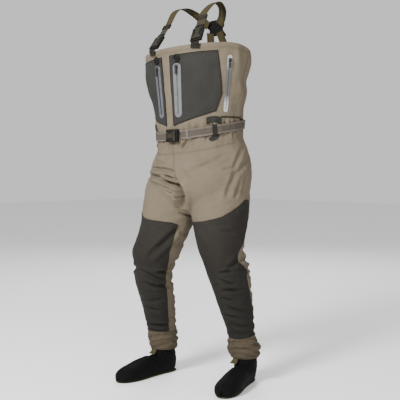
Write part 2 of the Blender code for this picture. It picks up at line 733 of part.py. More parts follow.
def foot_ring(centre_f, centre_z, reach_f, reach_z, half_width, inset, floor):
    """A ring across the foot: its middle, the vector to its far side, its half width; flat at the floor."""
    length = math.hypot(reach_f, reach_z)
    scale = (length - inset) / length
    ring = []
    for i in range(20):
        turn = 2 * math.pi * i / 20
        along = scale * math.cos(turn)
        f = centre_f + reach_f * along
        z = max(centre_z + reach_z * along, floor + inset)
        ring.append((f, (half_width - inset) * math.sin(turn), z))
    return ring


def bootie_rings(inset):
    """Rings from the ankle's top round the heel to the toe, in forward, sideways and up."""
    floor = SOLE_THICKNESS + GAP
    rings = []
    for z, radius in ((0.172, 0.0420), (0.140, 0.0430), (0.112, 0.0460)):
        rings.append(foot_ring(0.0, z, -radius, 0, radius, inset, floor))
    crease = (0.072, 0.100)
    heel = ((8, 0.128, 0.047), (24, 0.146, 0.044), (40, 0.158, 0.041), (58, 0.130, 0.040))
    heel += ((76, 0.107, 0.041),)
    start = 0.022
    for angle, far, half_width in heel:
        turn = math.radians(angle)
        middle, half = (start + far) / 2, (far - start) / 2
        u = (-math.cos(turn), -math.sin(turn))
        centre_f, centre_z = crease[0] + u[0] * middle, crease[1] + u[1] * middle
        rings.append(foot_ring(centre_f, centre_z, u[0] * half, u[1] * half, half_width, inset, floor))
    fore = ((0.082, 0.084, 0.043), (0.125, 0.078, 0.046), (0.165, 0.067, 0.049), (0.200, 0.058, 0.045),
            (0.222, 0.050, 0.036), (0.233, 0.042, 0.024), (0.238, 0.034, 0.010))
    for f, height, half_width in fore:
        f -= inset if f > 0.22 else 0
        half = (height - floor + FLAT_DEPTH) / 2
        rings.append(foot_ring(f, height - half, 0, -half, max(half_width, inset + 0.003), inset, floor))
    return rings


def foot_to_world(side, point):
    ankle_x, ankle_y, toe_out = FEET[side]
    forward, sideways, up = point
    turn = math.radians(toe_out)
    x = ankle_x + FOOT_SCALE * (forward * math.sin(turn) + sideways * math.cos(turn))
    y = ankle_y + FOOT_SCALE * (-forward * math.cos(turn) + sideways * math.sin(turn))
    leg_x, leg_y, _ = at(LEGS[side], up)
    share = min(max((up - ANKLE_HEIGHTS[0]) / (ANKLE_HEIGHTS[1] - ANKLE_HEIGHTS[0]), 0), 1)
    return Vector((x + (leg_x - ankle_x) * share, y + (leg_y - ankle_y) * share, up))


def make_bootie(side):
    rings = []
    for inset in (0.0, NEOPRENE):
        found = [[foot_to_world(side, p) for p in ring] for ring in bootie_rings(inset)]
        rings.append(found)
    outer, inner = rings
    sides = len(outer[0])
    loop = outer[::-1] + inner
    points = [point for ring in loop for point in ring]
    faces = []
    for row in range(len(loop) - 1):
        for i in range(sides):
            j = (i + 1) % sides
            faces.append((row * sides + i, row * sides + j, (row + 1) * sides + j, (row + 1) * sides + i))
    faces.append(tuple(range(sides)))
    faces.append(tuple(range(len(points) - sides, len(points))))
    add_mesh(f"{side}_bootie", points, faces, "neoprene")


def make_sole(side):
    """A flat moulded sole under the foot."""
    half_widths = ((-0.064, 0.010), (-0.058, 0.022), (-0.045, 0.030), (-0.02, 0.034), (0.03, 0.033))
    half_widths += ((0.08, 0.035), (0.13, 0.042), (0.17, 0.0445), (0.205, 0.040), (0.228, 0.028))
    half_widths += ((0.240, 0.012),)
    outline = [(f, w) for f, w in half_widths] + [(f, -w) for f, w in half_widths[::-1]]
    count = len(outline)
    points = [foot_to_world(side, (f, w, 0.0)) for f, w in outline]
    points += [foot_to_world(side, (f, w, SOLE_THICKNESS)) for f, w in outline]
    faces = [tuple(range(count)), tuple(range(2 * count - 1, count - 1, -1))]
    faces += [(i, (i + 1) % count, count + (i + 1) % count, count + i) for i in range(count)]
    add_mesh(f"{side}_bootie_sole", points, faces, "olive_trim")


def make_lace_tab(side):
    """The tab that hangs from the front of the cuff, for a boot lace."""
    grids = []
    for depth in (0.0020, 0.0):
        rows = []
        for z, out in ((0.1052, 0.0030), (0.096, 0.0150), (0.088, 0.0270)):
            drop = Vector((0, 0, z - 0.106))
            rows.append([leg_point(side, a, 0.106, out + depth) + drop for a in between(-13, 13, 5)])
        grids.append(rows)
    grid_solid(f"{side}_lace_tab", grids[0], grids[1], "olive_trim", closed=False)


# ---------------------------------------------------------------- assembly

def centre_on_origin():
    """Moves everything so that the base's centre is the origin and the soles stand at zero."""
    bpy.context.view_layer.update()
    corners = [
        obj.matrix_world @ vertex.co
        for obj in bpy.data.objects if obj.type == "MESH" and not obj.hide_render
        for vertex in obj.data.vertices
    ]
    middle_x = (min(c.x for c in corners) + max(c.x for c in corners)) / 2
    middle_y = (min(c.y for c in corners) + max(c.y for c in corners)) / 2
    BASE.location = (-middle_x, -middle_y, -min(c.z for c in corners))


def main():
    make_bib()
    make_seat()
    make_top_hem()
    for side in ("left", "right"):
        make_leg(side)
        make_leg_panel(side)
        make_gravel_guard(side)
        make_bootie(side)
        make_sole(side)
        make_lace_tab(side)
        make_chest_pocket(side)
        make_zips(side)
        make_loop_patch(side, LOOP_ANGLES[side])
        make_brace(side)
    make_belt()
    make_belt_buckle()
    for place, angle in LOOP_ANGLES.items():
        make_belt_loop(place, angle)
    make_yoke()
    centre_on_origin()


clear_scene()
MATERIALS = make_materials()
BASE = bpy.data.objects.new("waders", None)
bpy.context.collection.objects.link(BASE)
main()
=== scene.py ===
"""The look of the stocking-foot chest waders: wrinkled cloth, webbing, zips and neoprene on the CAD.

Metres. The tables are those of the CAD in its own coordinates, which BASE moves to the frame's. The
wearer faces -Y and +X is the wearer's left; angles run in degrees from the front towards +X.
"""

import math

import bmesh
import bpy
import numpy as np
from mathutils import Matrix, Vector
from mathutils.bvhtree import BVHTree


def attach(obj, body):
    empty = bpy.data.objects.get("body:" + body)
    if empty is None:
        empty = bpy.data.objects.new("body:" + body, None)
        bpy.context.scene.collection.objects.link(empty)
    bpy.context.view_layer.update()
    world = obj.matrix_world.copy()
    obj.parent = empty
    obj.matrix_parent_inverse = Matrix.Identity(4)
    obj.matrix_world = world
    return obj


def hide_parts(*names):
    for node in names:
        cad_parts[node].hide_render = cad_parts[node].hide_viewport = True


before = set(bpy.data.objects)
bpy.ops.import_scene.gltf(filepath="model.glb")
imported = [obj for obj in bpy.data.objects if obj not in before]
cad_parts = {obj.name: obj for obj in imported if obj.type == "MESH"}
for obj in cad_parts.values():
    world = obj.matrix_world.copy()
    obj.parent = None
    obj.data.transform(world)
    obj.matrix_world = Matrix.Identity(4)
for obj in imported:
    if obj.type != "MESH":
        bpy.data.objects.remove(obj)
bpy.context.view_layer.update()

BASE = np.array((-0.02213, 0.05824, 0.0))

# Torso: height, half width, half depth, centre in Y
TORSO = (
    (1.40, 0.2600, 0.1660, -0.0230),
    (1.36, 0.2540, 0.1645, -0.0212),
    (1.21, 0.2275, 0.1586, -0.0143),
    (1.06, 0.2010, 0.1528, -0.0074),
    (1.00, 0.1920, 0.1490, 0.0020),
    (0.94, 0.2085, 0.1600, 0.0140),
    (0.88, 0.2300, 0.1700, 0.0050),
    (0.82, 0.2380, 0.1690, 0.0000),
    (0.76, 0.2280, 0.1520, -0.0050),
    (0.73, 0.2000, 0.1300, -0.0080),
    (0.70, 0.1400, 0.1000, -0.0120),
    (0.685, 0.070, 0.0700, -0.0120),
)
# Legs: height, centre in X, centre in Y, radius
LEGS = {
    "right": (
        (0.860, -0.112, -0.010, 0.1030),
        (0.800, -0.115, -0.030, 0.1180),
        (0.750, -0.117, -0.042, 0.1190),
        (0.700, -0.118, -0.053, 0.1170),
        (0.640, -0.121, -0.068, 0.1100),
        (0.570, -0.128, -0.100, 0.1020),
        (0.520, -0.134, -0.118, 0.1000),
        (0.470, -0.140, -0.124, 0.0830),
        (0.430, -0.146, -0.126, 0.0770),
        (0.370, -0.152, -0.108, 0.0750),
        (0.290, -0.160, -0.081, 0.0680),
        (0.190, -0.168, -0.056, 0.0600),
        (0.120, -0.173, -0.043, 0.0540),
        (0.100, -0.174, -0.040, 0.0525),
    ),
    "left": (
        (0.860, 0.112, 0.002, 0.1030),
        (0.800, 0.115, -0.004, 0.1180),
        (0.750, 0.117, -0.006, 0.1190),
        (0.700, 0.118, -0.008, 0.1170),
        (0.640, 0.121, -0.008, 0.1090),
        (0.590, 0.126, -0.014, 0.0980),
        (0.540, 0.131, -0.014, 0.0890),
        (0.480, 0.140, 0.006, 0.0880),
        (0.430, 0.146, 0.018, 0.0840),
        (0.370, 0.153, 0.031, 0.0770),
        (0.290, 0.162, 0.046, 0.0670),
        (0.190, 0.172, 0.066, 0.0540),
        (0.120, 0.177, 0.075, 0.0540),
        (0.100, 0.178, 0.077, 0.0540),
    ),
}
CHEST_KINK = 1.06
SIGN = {"left": 1, "right": -1}
PANEL_EDGES = (
    (0.745, 94, 108),
    (0.712, 72, 110),
    (0.680, 44, 112),
    (0.662, 8, 113),
    (0.650, -52, 113),
    (0.640, -68, 113),
    (0.590, -71, 112),
    (0.530, -74, 84),
    (0.500, -80, 80),
    (0.470, -84, 100),
    (0.430, -86, 94),
    (0.370, -82, 100),
    (0.290, -76, 108),
    (0.190, -73, 103),
)
TOP_FRONT = 1.338
TOP_DROP = 0.055
TOP_ROLL = 0.04
BELT_FRONT = 0.997
BELT_PITCH = 0.17
BELT_ROLL = 0.06
BELT_WIDTH = 0.036
BELT_END_ANGLE = 10.6
CHEST_TWIST = -3.0
POCKET_INNER = 5.4
POCKET_ROWS = ((57.5, 1.306, 1.308), (63.0, 1.205, 1.218), (66.0, 1.062, 1.150), (60.0, 1.036, 1.088))
CHEST_ZIP_ANGLE = 13.6
CHEST_ZIP_HEIGHTS = (1.068, 1.276)
HAND_ZIP_ANGLE = 73.0
HAND_ZIP_HEIGHTS = (1.086, 1.300)
ZIP_ANGLES = tuple(
    CHEST_TWIST + sign * angle for sign in (1, -1) for angle in (CHEST_ZIP_ANGLE, HAND_ZIP_ANGLE)
)
# Middle angle and spread of two slack places, each with folds of depth, height and reach
BIB_BAGS = (
    (-62, 34, ((0.0075, 1.225, 0.060), (-0.0085, 1.105, 0.050))),
    (112, 30, (
        (0.0080, 1.290, 0.038), (-0.0060, 1.215, 0.024), (0.0050, 1.160, 0.030), (-0.0050, 1.075, 0.030),
    )),
)
BIB_PLEATS = ((24.5, 1.0), (29.5, -0.7), (34.0, 1.1), (40.0, -0.6), (-33.0, 0.9), (-46.0, 0.7), (71.0, 0.7))
# Radii that turn metres across the bib and round the belt into degrees
BIB_RADIUS = 0.19
BELT_RADIUS = 0.17
CREASE_POINTS = 14
CLOTH_THICKNESS = 0.0016
CUFF_TOP = 0.187
CUFF_DEPTH = 0.081
TAB_TOP = 0.106
SEAM_ANGLE = 101.0
LOOP_ANGLE = 55.0
FILM_WELD = 0.0008
COIL_PITCH = 0.0019
RAMP_TOP = 1.4
GARAGE_RADIUS = 0.0165
STRAP_ANGLES = {"left": 31.0, "right": -21.5}
STRAP_WIDTH = 0.038
LINE_TOPS = {"left": (0.099, -0.082, 1.480), "right": (-0.092, -0.080, 1.466)}
WEBBING_ROWS = 42
BUCKLE_START = 0.007
BUCKLE_LENGTH = 0.064
FEET = {"right": (-0.175, -0.044, -2.0), "left": (0.182, 0.074, 19.0)}
FOOT_SCALE = 1.03
SOLE_THICKNESS = 0.0065
VOXEL = 0.0040
CUFF_FULNESS = {"right": 0.0030, "left": 0.0075}


# ---------------------------------------------------------------- numbers

def smoothstep(value):
    value = np.clip(value, 0.0, 1.0)
    return value * value * (3 - 2 * value)


def hump(value, middle, width):
    """1 at the middle, and next to nothing two widths away."""
    return np.exp(-((value - middle) / width) ** 2)


def unit(vectors):
    """The vectors at length 1."""
    return vectors / np.linalg.norm(vectors, axis=-1, keepdims=True)


def spline(rows, height):
    """The rows' values at these heights, by cubics through the rows."""
    table = np.array(rows, dtype=float)
    table = table[np.argsort(table[:, 0], kind="stable")]
    knots, values = table[:, 0], table[:, 1:]
    slopes = np.gradient(values, knots, axis=0)
    height = np.clip(np.asarray(height, dtype=float), knots[0], knots[-1])
    i = np.clip(np.searchsorted(knots, height, side="right") - 1, 0, len(knots) - 2)
    step = (knots[i + 1] - knots[i])[..., None]
    t = (height - knots[i])[..., None] / step
    start, end = values[i], values[i + 1]
    out, into = slopes[i] * step, slopes[i + 1] * step
    return (
        (2 * t ** 3 - 3 * t ** 2 + 1) * start + (t ** 3 - 2 * t ** 2 + t) * out
        + (3 * t ** 2 - 2 * t ** 3) * end + (t ** 3 - t ** 2) * into
    )


def noise(points, scale, seed):
    """Smooth value noise from -1 to 1 at these points."""
    place = np.asarray(points, dtype=float) / scale
    cell = np.floor(place).astype(np.int64)
    share = smoothstep(place - cell)
    total = np.zeros(place.shape[:-1])
    for corner in np.ndindex(2, 2, 2):
        key = cell + np.array(corner)
        mixed = key[..., 0] * 73856093 ^ key[..., 1] * 19349663 ^ key[..., 2] * 83492791 ^ seed * 2654435
        mixed = ((mixed ^ (mixed >> 13)) * 1274126177) & 0x7FFFFFFF
        value = ((mixed ^ (mixed >> 15)) % 65536) / 32767.5 - 1
        weight = np.prod(np.where(np.array(corner) == 1, share, 1 - share), axis=-1)
        total += value * weight
    return total


def through(points, count):
    """A smooth path of this many points through given ones."""
    points = np.array(points, dtype=float)
    rows = np.column_stack([np.arange(len(points)), points])
    return spline(rows, np.linspace(0, len(points) - 1, count))


def crease(points, path, width, depth):
    """How far a crease along a path sinks the points, with a low ridge along each side of it."""
    nearest = np.full(len(points), np.inf)
    along = np.zeros(len(points))
    steps = len(path) - 1
    for i in range(steps):
        start, way = path[i], path[i + 1] - path[i]
        t = np.clip(((points - start) @ way) / (way @ way), 0, 1)
        away = np.linalg.norm(points - start - t[:, None] * way, axis=1)
        closer = away < nearest
        nearest = np.where(closer, away, nearest)
        along = np.where(closer, (i + t) / steps, along)
    taper = np.sqrt(np.clip(4 * along * (1 - along), 0, 1))
    spread = nearest / width
    return depth * taper * (0.55 * np.exp(-((spread - 2.0) / 0.9) ** 2) - np.exp(-spread ** 2))


# ---------------------------------------------------------------- surfaces

def torso_rows(height):
    """The torso's sizes at these heights: straight over the chest, where the zips run, and curved below."""
    table = np.array(TORSO[::-1])
    straight = np.stack([np.interp(height, table[:, 0], column) for column in table[:, 1:].T], axis=-1)
    return np.where(np.asarray(height)[..., None] > CHEST_KINK, straight, spline(TORSO, height))


def torso(angle, height, offset=0.0):
    angle, height, offset = np.broadcast_arrays(np.radians(angle), height, offset)
    half_width, half_depth, middle = np.moveaxis(torso_rows(height), -1, 0)
    x = (half_width + offset) * np.sin(angle)
    y = middle - (half_depth + offset) * np.cos(angle)
    return np.stack([x, y, height], axis=-1)


def leg(side, angle, height, offset=0.0):
    angle, height, offset = np.broadcast_arrays(np.radians(angle), height, offset)
    centre_x, centre_y, radius = np.moveaxis(spline(LEGS[side], height), -1, 0)
    x = centre_x + (radius + offset) * np.sin(angle)
    y = centre_y - (radius + offset) * np.cos(angle)
    return np.stack([x, y, height], axis=-1)


def top_height(angle):
    wrapped = (np.asarray(angle, dtype=float) + 180) % 360 - 180
    share = smoothstep((np.abs(wrapped) - 60) / 120)
    return TOP_FRONT + TOP_ROLL * torso(wrapped, TOP_FRONT)[..., 0] - TOP_DROP * share


def belt_height(angle):
    point = torso(angle, BELT_FRONT)
    front = torso(0.0, BELT_FRONT)
    return BELT_FRONT + BELT_PITCH * (point[..., 1] - front[1]) + BELT_ROLL * point[..., 0]


def bib_folds(angle, height):
    """How far the bib's cloth stands in or out of its plain shape."""
    angle, height = np.broadcast_arrays(np.asarray(angle, dtype=float), np.asarray(height, dtype=float))
    wrapped = (angle + 180) % 360 - 180
    turn = np.radians(angle)
    over_belt = height - belt_height(angle)
    # Long soft waves that run up the cloth
    around = np.stack([np.sin(turn) * 0.2, np.cos(turn) * 0.2, height * 0.22], axis=-1)
    lift = 0.0042 * noise(around, 0.055, 3) + 0.0020 * noise(around * (1, 1, 2.2), 0.024, 5)
    lift += 0.0010 * noise(np.stack([turn * 0.2, height, 0 * height], axis=-1), 0.030, 11)
    # Slack cloth at the sides, where the arms come out
    slack = hump(np.abs(wrapped), 98, 26)
    lift += slack * 0.0070 * np.sin(9 * turn + 16 * height) * smoothstep((height - 1.05) / 0.15)
    # The cloth stands off the ribs on the right, and bags under the arm on the left
    for middle, spread, folds in BIB_BAGS:
        for depth, level, reach in folds:
            lift += hump(wrapped, middle, spread) * depth * hump(height, level, reach)
    # Gathers and deeper pleats over the belt
    gather = np.exp(-np.clip(over_belt - 0.016, 0, 1) / 0.020)
    ripple = np.sin(30 * turn + 3 * np.sin(5 * turn)) + 0.5 * np.sin(53 * turn + 1.3)
    lift += 0.0034 * gather * ripple * (1 - 0.5 * hump(wrapped, -3, 22))
    for middle, size in BIB_PLEATS:
        lift -= size * 0.0075 * hump(wrapped, middle, 2.1) * hump(over_belt, 0.024, 0.013)
    # The cloth spreads from the belt's pinch, and lies flatter near the top
    lift += 0.0030 * hump(over_belt, 0.032, 0.020)
    lift *= smoothstep((top_height(angle) + 0.008 - height) / 0.05) * 0.85 + 0.15
    # The welded zips hold the cloth flat under them
    for middle in ZIP_ANGLES:
        lift *= 1 - np.exp(-((wrapped - middle) / 7.5) ** 4) * smoothstep((height - 1.040) / 0.025)
    return lift


def bib(angle, height, offset=0.0):
    return torso(angle, height, bib_folds(angle, height) + offset)


# ---------------------------------------------------------------- meshes

MATERIALS = {}


def mesh_of(name, points, faces):
    """A mesh whose faces all point outwards."""
    mesh = bpy.data.meshes.new(name)
    mesh.from_pydata(points.tolist(), [], faces)
    work = bmesh.new()
    work.from_mesh(mesh)
    bmesh.ops.recalc_face_normals(work, faces=work.faces)
    work.to_mesh(mesh)
    work.free()
    return mesh


def add_object(name, data):
    """An object with this data, in the scene."""
    obj = bpy.data.objects.new(name, data)
    bpy.context.scene.collection.objects.link(obj)
    return obj


def piece(name, points, faces, material, slot, replaces=(), sharp=50):
    """A smooth object from design coordinates that rides on the root; sharp is in degrees."""
    mesh = mesh_of(name, points + BASE, faces)
    mesh.materials.append(MATERIALS[material])
    mesh.shade_smooth()
    mesh.set_sharp_from_angle(angle=math.radians(sharp))
    obj = add_object(name, mesh)
    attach(obj, "root")
    if replaces:
        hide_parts(*replaces)


def quads(rows, columns, closed, start=0, flip=False):
    """The faces between neighbours in a grid of points."""
    index = start + np.arange(rows * columns).reshape(rows, columns)
    if closed:
        index = np.concatenate([index, index[:, :1]], axis=1)
    a, b, c, d = index[:-1, :-1], index[:-1, 1:], index[1:, 1:], index[1:, :-1]
    faces = np.stack([a, d, c, b] if flip else [a, b, c, d], axis=-1)
    return faces.reshape(-1, 4).tolist()


def skin_faces(rows, columns, closed):
    """The faces of two grids, one behind the other, and of the walls between their edges."""
    size = rows * columns
    faces = quads(rows, columns, closed) + quads(rows, columns, closed, size, True)
    last = columns if closed else columns - 1
    for row in (0, rows - 1):
        for i in range(last):
            j = (i + 1) % columns
            a, b = row * columns + i, row * columns + j
            faces.append([a, b, size + b, size + a] if row else [b, a, size + a, size + b])
    if not closed:
        for column in (0, columns - 1):
            for i in range(rows - 1):
                a, b = i * columns + column, (i + 1) * columns + column
                faces.append([b, a, size + a, size + b] if column else [a, b, size + b, size + a])
    return faces


def skin(name, outer, inner, material, slot, closed=False, **more):
    """A closed sheet between two grids of points."""
    rows, columns = outer.shape[:2]
    points = np.concatenate([outer.reshape(-1, 3), inner.reshape(-1, 3)])
    piece(name, points, skin_faces(rows, columns, closed), material, slot, **more)


def sheet(name, surface, angle, height, offsets, material, slot, **more):
    """A closed sheet that follows a surface between two offsets from it."""
    outer, inner = (surface(angle, height, offset) for offset in offsets)
    skin(name, outer, inner, material, slot, **more)
    return outer


def joined(parts):
    """One array of points and one list of faces from a list of both."""
    points, faces, start = [], [], 0
    for part_points, part_faces in parts:
        points.append(np.asarray(part_points).reshape(-1, 3))
        faces += [[start + i for i in face] for face in part_faces]
        start += len(points[-1])
    return np.concatenate(points), faces


def several(name, parts, material, slot, **more):
    """One object from a list of points and faces."""
    piece(name, *joined(parts), material, slot, **more)


def loft_part(rings):
    """The points and faces of a closed tube through rings, with flat ends."""
    rows, sides = rings.shape[:2]
    faces = quads(rows, sides, True)
    faces += [list(range(sides))[::-1], list(range((rows - 1) * sides, rows * sides))]
    return rings.reshape(-1, 3), faces


def band_axes(path, across):
    """Unit vectors along a path, and across it as near as may be to the given ones."""
    along = unit(np.gradient(np.asarray(path, dtype=float), axis=0))
    return along, unit(across - (across * along).sum(1, keepdims=True) * along)


def band_part(path, across, width, thickness, columns):
    """A flat band's points and faces along a path, with its width's direction at each point."""
    along, side = band_axes(path, across)
    share = np.linspace(-1, 1, columns)
    middle = path[:, None] + side[:, None] * (share * width / 2)[:, None]
    half = np.cross(side, along)[:, None] * thickness / 2 * np.where(np.abs(share) == 1, 0.55, 1.0)[:, None]
    return np.concatenate([(middle + half).reshape(-1, 3), (middle - half).reshape(-1, 3)]), skin_faces(
        len(path), columns, False)


def tube_part(path, radius, sides=6):
    """A thin round thread along a path."""
    path = np.asarray(path, dtype=float)
    along = unit(np.gradient(path, axis=0))
    guide = np.where(np.abs(along[:, 2:3]) > 0.9, (1.0, 0.0, 0.0), (0.0, 0.0, 1.0))
    side = unit(np.cross(along, guide))
    up = np.cross(side, along)
    turn = 2 * math.pi * np.arange(sides) / sides
    ring = side[:, None] * np.cos(turn)[:, None] + up[:, None] * np.sin(turn)[:, None]
    return loft_part(path[:, None] + radius * ring)


def stitch_parts(path, pitch=0.0040, length=0.0026, radius=0.00045):
    """Short stitches along a path."""
    path = np.asarray(path, dtype=float)
    travelled = np.concatenate([[0], np.cumsum(np.linalg.norm(np.diff(path, axis=0), axis=1))])
    starts = np.arange(0, travelled[-1] - length, pitch)
    parts = []
    for start in starts:
        where = np.array([start, start + length / 2, start + length])
        points = np.stack([np.interp(where, travelled, path[:, k]) for k in range(3)], axis=1)
        parts.append(tube_part(points, radius, 4))
    return parts


# ---------------------------------------------------------------- trousers

def hip_path(points):
    angle, height = through(points, CREASE_POINTS).T
    return torso(angle, height)


def leg_path(side, points):
    angle, height = through(points, CREASE_POINTS).T
    return leg(side, angle, height)


def crease_list():
    """Creases as path, width and depth, from the belt down to the ankles."""
    hip = [
        # From the outside of the right thigh across to the crotch
        ([(-56, 0.838), (-24, 0.835), (-8, 0.818), (9, 0.800), (13, 0.786)], 0.0085, 0.0115),
        # The hollow between the thighs
        ([(9, 0.812), (12, 0.785), (12, 0.760), (10, 0.735), (6, 0.705)], 0.0170, 0.0150),
        ([(-44, 0.868), (-19, 0.866), (-2, 0.859), (5, 0.852)], 0.0080, 0.0065),
        ([(-40, 0.902), (-24, 0.892), (-9, 0.886)], 0.0080, 0.0035),
        ([(-8, 0.838), (8, 0.822)], 0.0060, 0.0045),
        ([(-22, 0.846), (-4, 0.836), (6, 0.826)], 0.0052, 0.0050),
        ([(-34, 0.823), (-16, 0.820), (-2, 0.808), (6, 0.794)], 0.0052, 0.0045),
        ([(3, 0.846), (9, 0.818), (14, 0.790), (18, 0.766)], 0.0054, 0.0052),
        ([(0, 0.768), (6, 0.752), (16, 0.742)], 0.0054, 0.0045),
        ([(-10, 0.778), (0, 0.764), (8, 0.756)], 0.0054, 0.0040),
        ([(10, 0.872), (18, 0.850), (24, 0.820)], 0.0070, 0.0026),
        ([(-48, 0.812), (-32, 0.805), (-22, 0.797)], 0.0080, 0.0035),
        ([(2, 0.812), (12, 0.792), (15, 0.772)], 0.0080, 0.0050),
        # Long shallow folds over the left hip
        ([(22, 0.857), (33, 0.872), (45, 0.892), (62, 0.915)], 0.0100, 0.0040),
        ([(57, 0.860), (74, 0.871)], 0.0070, 0.0030),
        ([(30, 0.900), (48, 0.915)], 0.0090, 0.0020),
        ([(102, 0.962), (86, 0.925), (75, 0.870), (70, 0.830)], 0.0100, 0.0030),
        ([(108, 0.912), (84, 0.868), (69, 0.810), (64, 0.740), (61, 0.690)], 0.0105, 0.0036),
        ([(84, 0.812), (78, 0.770), (75, 0.735)], 0.0085, 0.0024),
        ([(95, 0.850), (90, 0.800), (88, 0.760)], 0.0085, 0.0022),
        # Pleats under the belt
        ([(20, 0.984), (13, 0.958), (10, 0.942)], 0.0056, 0.0075),
        ([(27, 0.988), (21, 0.968)], 0.0052, 0.0060),
        ([(-10, 0.975), (-12, 0.952)], 0.0065, 0.0040),
        ([(-30, 0.978), (-27, 0.950)], 0.0065, 0.0045),
        ([(-46, 0.982), (-42, 0.950)], 0.0070, 0.0035),
        ([(44, 0.995), (42, 0.975)], 0.0060, 0.0022),
        ([(84, 1.012), (82, 0.990)], 0.0050, 0.0030),
        ([(93, 1.015), (92, 0.985)], 0.0050, 0.0030),
        # Seat and back of the hips
        ([(150, 0.800), (168, 0.790), (180, 0.775)], 0.0100, 0.0060),
        ([(-150, 0.795), (-168, 0.786), (-180, 0.772)], 0.0100, 0.0060),
        ([(140, 0.850), (158, 0.842), (172, 0.828)], 0.0110, 0.0040),
        ([(-140, 0.845), (-160, 0.838), (-174, 0.826)], 0.0110, 0.0040),
        ([(160, 1.035), (158, 0.985), (162, 0.940)], 0.0080, 0.0040),
        ([(-165, 1.035), (-160, 0.985), (-164, 0.945)], 0.0080, 0.0040),
        ([(-96, 0.930), (-84, 0.870), (-74, 0.810)], 0.0120, 0.0050),
        ([(-110, 0.880), (-92, 0.820), (-84, 0.760)], 0.0120, 0.0045),
    ]
    right = [
        ([(72, 0.618), (54, 0.572), (40, 0.540), (27, 0.508)], 0.0120, 0.0075),
        ([(0, 0.458), (30, 0.440), (48, 0.428), (78, 0.407)], 0.0080, 0.0065),
        ([(50, 0.442), (86, 0.449), (105, 0.440)], 0.0065, 0.0060),
        ([(8, 0.405), (40, 0.391), (84, 0.388), (105, 0.378)], 0.0080, 0.0065),
        ([(-20, 0.470), (-52, 0.455), (-80, 0.462)], 0.0090, 0.0050),
        ([(-16, 0.298), (15, 0.288), (47, 0.279)], 0.0080, 0.0045),
        ([(-20, 0.330), (20, 0.322), (70, 0.336)], 0.0090, 0.0025),
        ([(-20, 0.222), (20, 0.214), (58, 0.216), (88, 0.226)], 0.0070, 0.0045),
        ([(100, 0.430), (150, 0.446), (200, 0.438), (250, 0.448)], 0.0090, 0.0090),
        ([(96, 0.392), (140, 0.402), (190, 0.392), (240, 0.404)], 0.0090, 0.0080),
        ([(110, 0.356), (150, 0.346), (200, 0.354)], 0.0090, 0.0060),
        ([(85, 0.470), (120, 0.486), (165, 0.478), (215, 0.492)], 0.0090, 0.0070),
        ([(80, 0.610), (100, 0.600), (135, 0.612)], 0.0080, 0.0050),
        ([(85, 0.556), (115, 0.566), (150, 0.552)], 0.0090, 0.0040),
        ([(62, 0.690), (84, 0.682), (110, 0.694)], 0.0080, 0.0050),
        ([(100, 0.300), (140, 0.290), (190, 0.302)], 0.0090, 0.0045),
        ([(90, 0.252), (130, 0.240), (180, 0.250)], 0.0080, 0.0045),
        ([(100, 0.212), (150, 0.206), (200, 0.214)], 0.0070, 0.0040),
    ]
    left = [
        ([(44, 0.627), (74, 0.615)], 0.0090, 0.0030),
        ([(84, 0.520), (72, 0.503), (44, 0.474)], 0.0100, 0.0060),
        ([(20, 0.455), (36, 0.463), (64, 0.466)], 0.0065, 0.0055),
        ([(12, 0.434), (30, 0.420), (50, 0.413)], 0.0070, 0.0055),
        ([(10, 0.383), (36, 0.390), (68, 0.389)], 0.0070, 0.0055),
        ([(0, 0.356), (20, 0.350), (40, 0.348)], 0.0070, 0.0045),
        ([(14, 0.318), (44, 0.306), (74, 0.297)], 0.0080, 0.0050),
        ([(-14, 0.288), (12, 0.280), (38, 0.278)], 0.0075, 0.0045),
        ([(10, 0.248), (50, 0.238), (90, 0.246)], 0.0080, 0.0035),
        ([(76, 0.494), (104, 0.512), (140, 0.500), (180, 0.514)], 0.0090, 0.0100),
        ([(82, 0.470), (112, 0.476), (150, 0.464), (200, 0.478)], 0.0090, 0.0085),
        ([(90, 0.440), (125, 0.446), (170, 0.434)], 0.0090, 0.0060),
        ([(100, 0.536), (150, 0.546), (210, 0.532)], 0.0090, 0.0060),
        ([(-70, 0.500), (-110, 0.512), (-160, 0.500)], 0.0090, 0.0080),
        ([(-76, 0.466), (-115, 0.456), (-165, 0.468)], 0.0090, 0.0080),
        ([(-60, 0.430), (-100, 0.420), (-140, 0.430)], 0.0090, 0.0050),
        ([(100, 0.390), (140, 0.380), (190, 0.392)], 0.0090, 0.0045),
        ([(100, 0.330), (140, 0.322), (190, 0.334)], 0.0090, 0.0040),
        ([(-80, 0.360), (-120, 0.350), (-160, 0.362)], 0.0090, 0.0040),
        ([(95, 0.262), (140, 0.252), (190, 0.262)], 0.0080, 0.0040),
        ([(95, 0.216), (150, 0.208), (200, 0.216)], 0.0070, 0.0040),
    ]
    found = [(hip_path(points), width * 0.85, depth * 1.6) for points, width, depth in hip]
    for side, creases in (("right", right), ("left", left)):
        for points, width, depth in creases:
            # The folds behind a leg are softer than those in front
            behind = max(abs(points[0][0]), abs(points[-1][0])) > 120
            found.append((leg_path(side, points), width * 0.9, depth * (0.75 if behind else 1.65)))
    return found


def remeshed(parts):
    """The union of closed parts as one even mesh: its points and its quads."""
    mesh = mesh_of("union", *joined(parts))
    obj = add_object("union", mesh)
    modifier = obj.modifiers.new("remesh", "REMESH")
    modifier.mode = "VOXEL"
    modifier.voxel_size = VOXEL
    made = obj.evaluated_get(bpy.context.evaluated_depsgraph_get()).to_mesh()
    flat = np.empty(len(made.vertices) * 3)
    made.vertices.foreach_get("co", flat)
    loops = np.array([tuple(polygon.vertices) for polygon in made.polygons])
    bpy.data.objects.remove(obj, do_unlink=True)
    bpy.data.meshes.remove(mesh)
    return flat.reshape(-1, 3), loops


def sides_of(faces):
    """The two ends of every face's four sides."""
    return np.concatenate([faces[:, [0, 1]], faces[:, [1, 2]], faces[:, [2, 3]], faces[:, [3, 0]]])


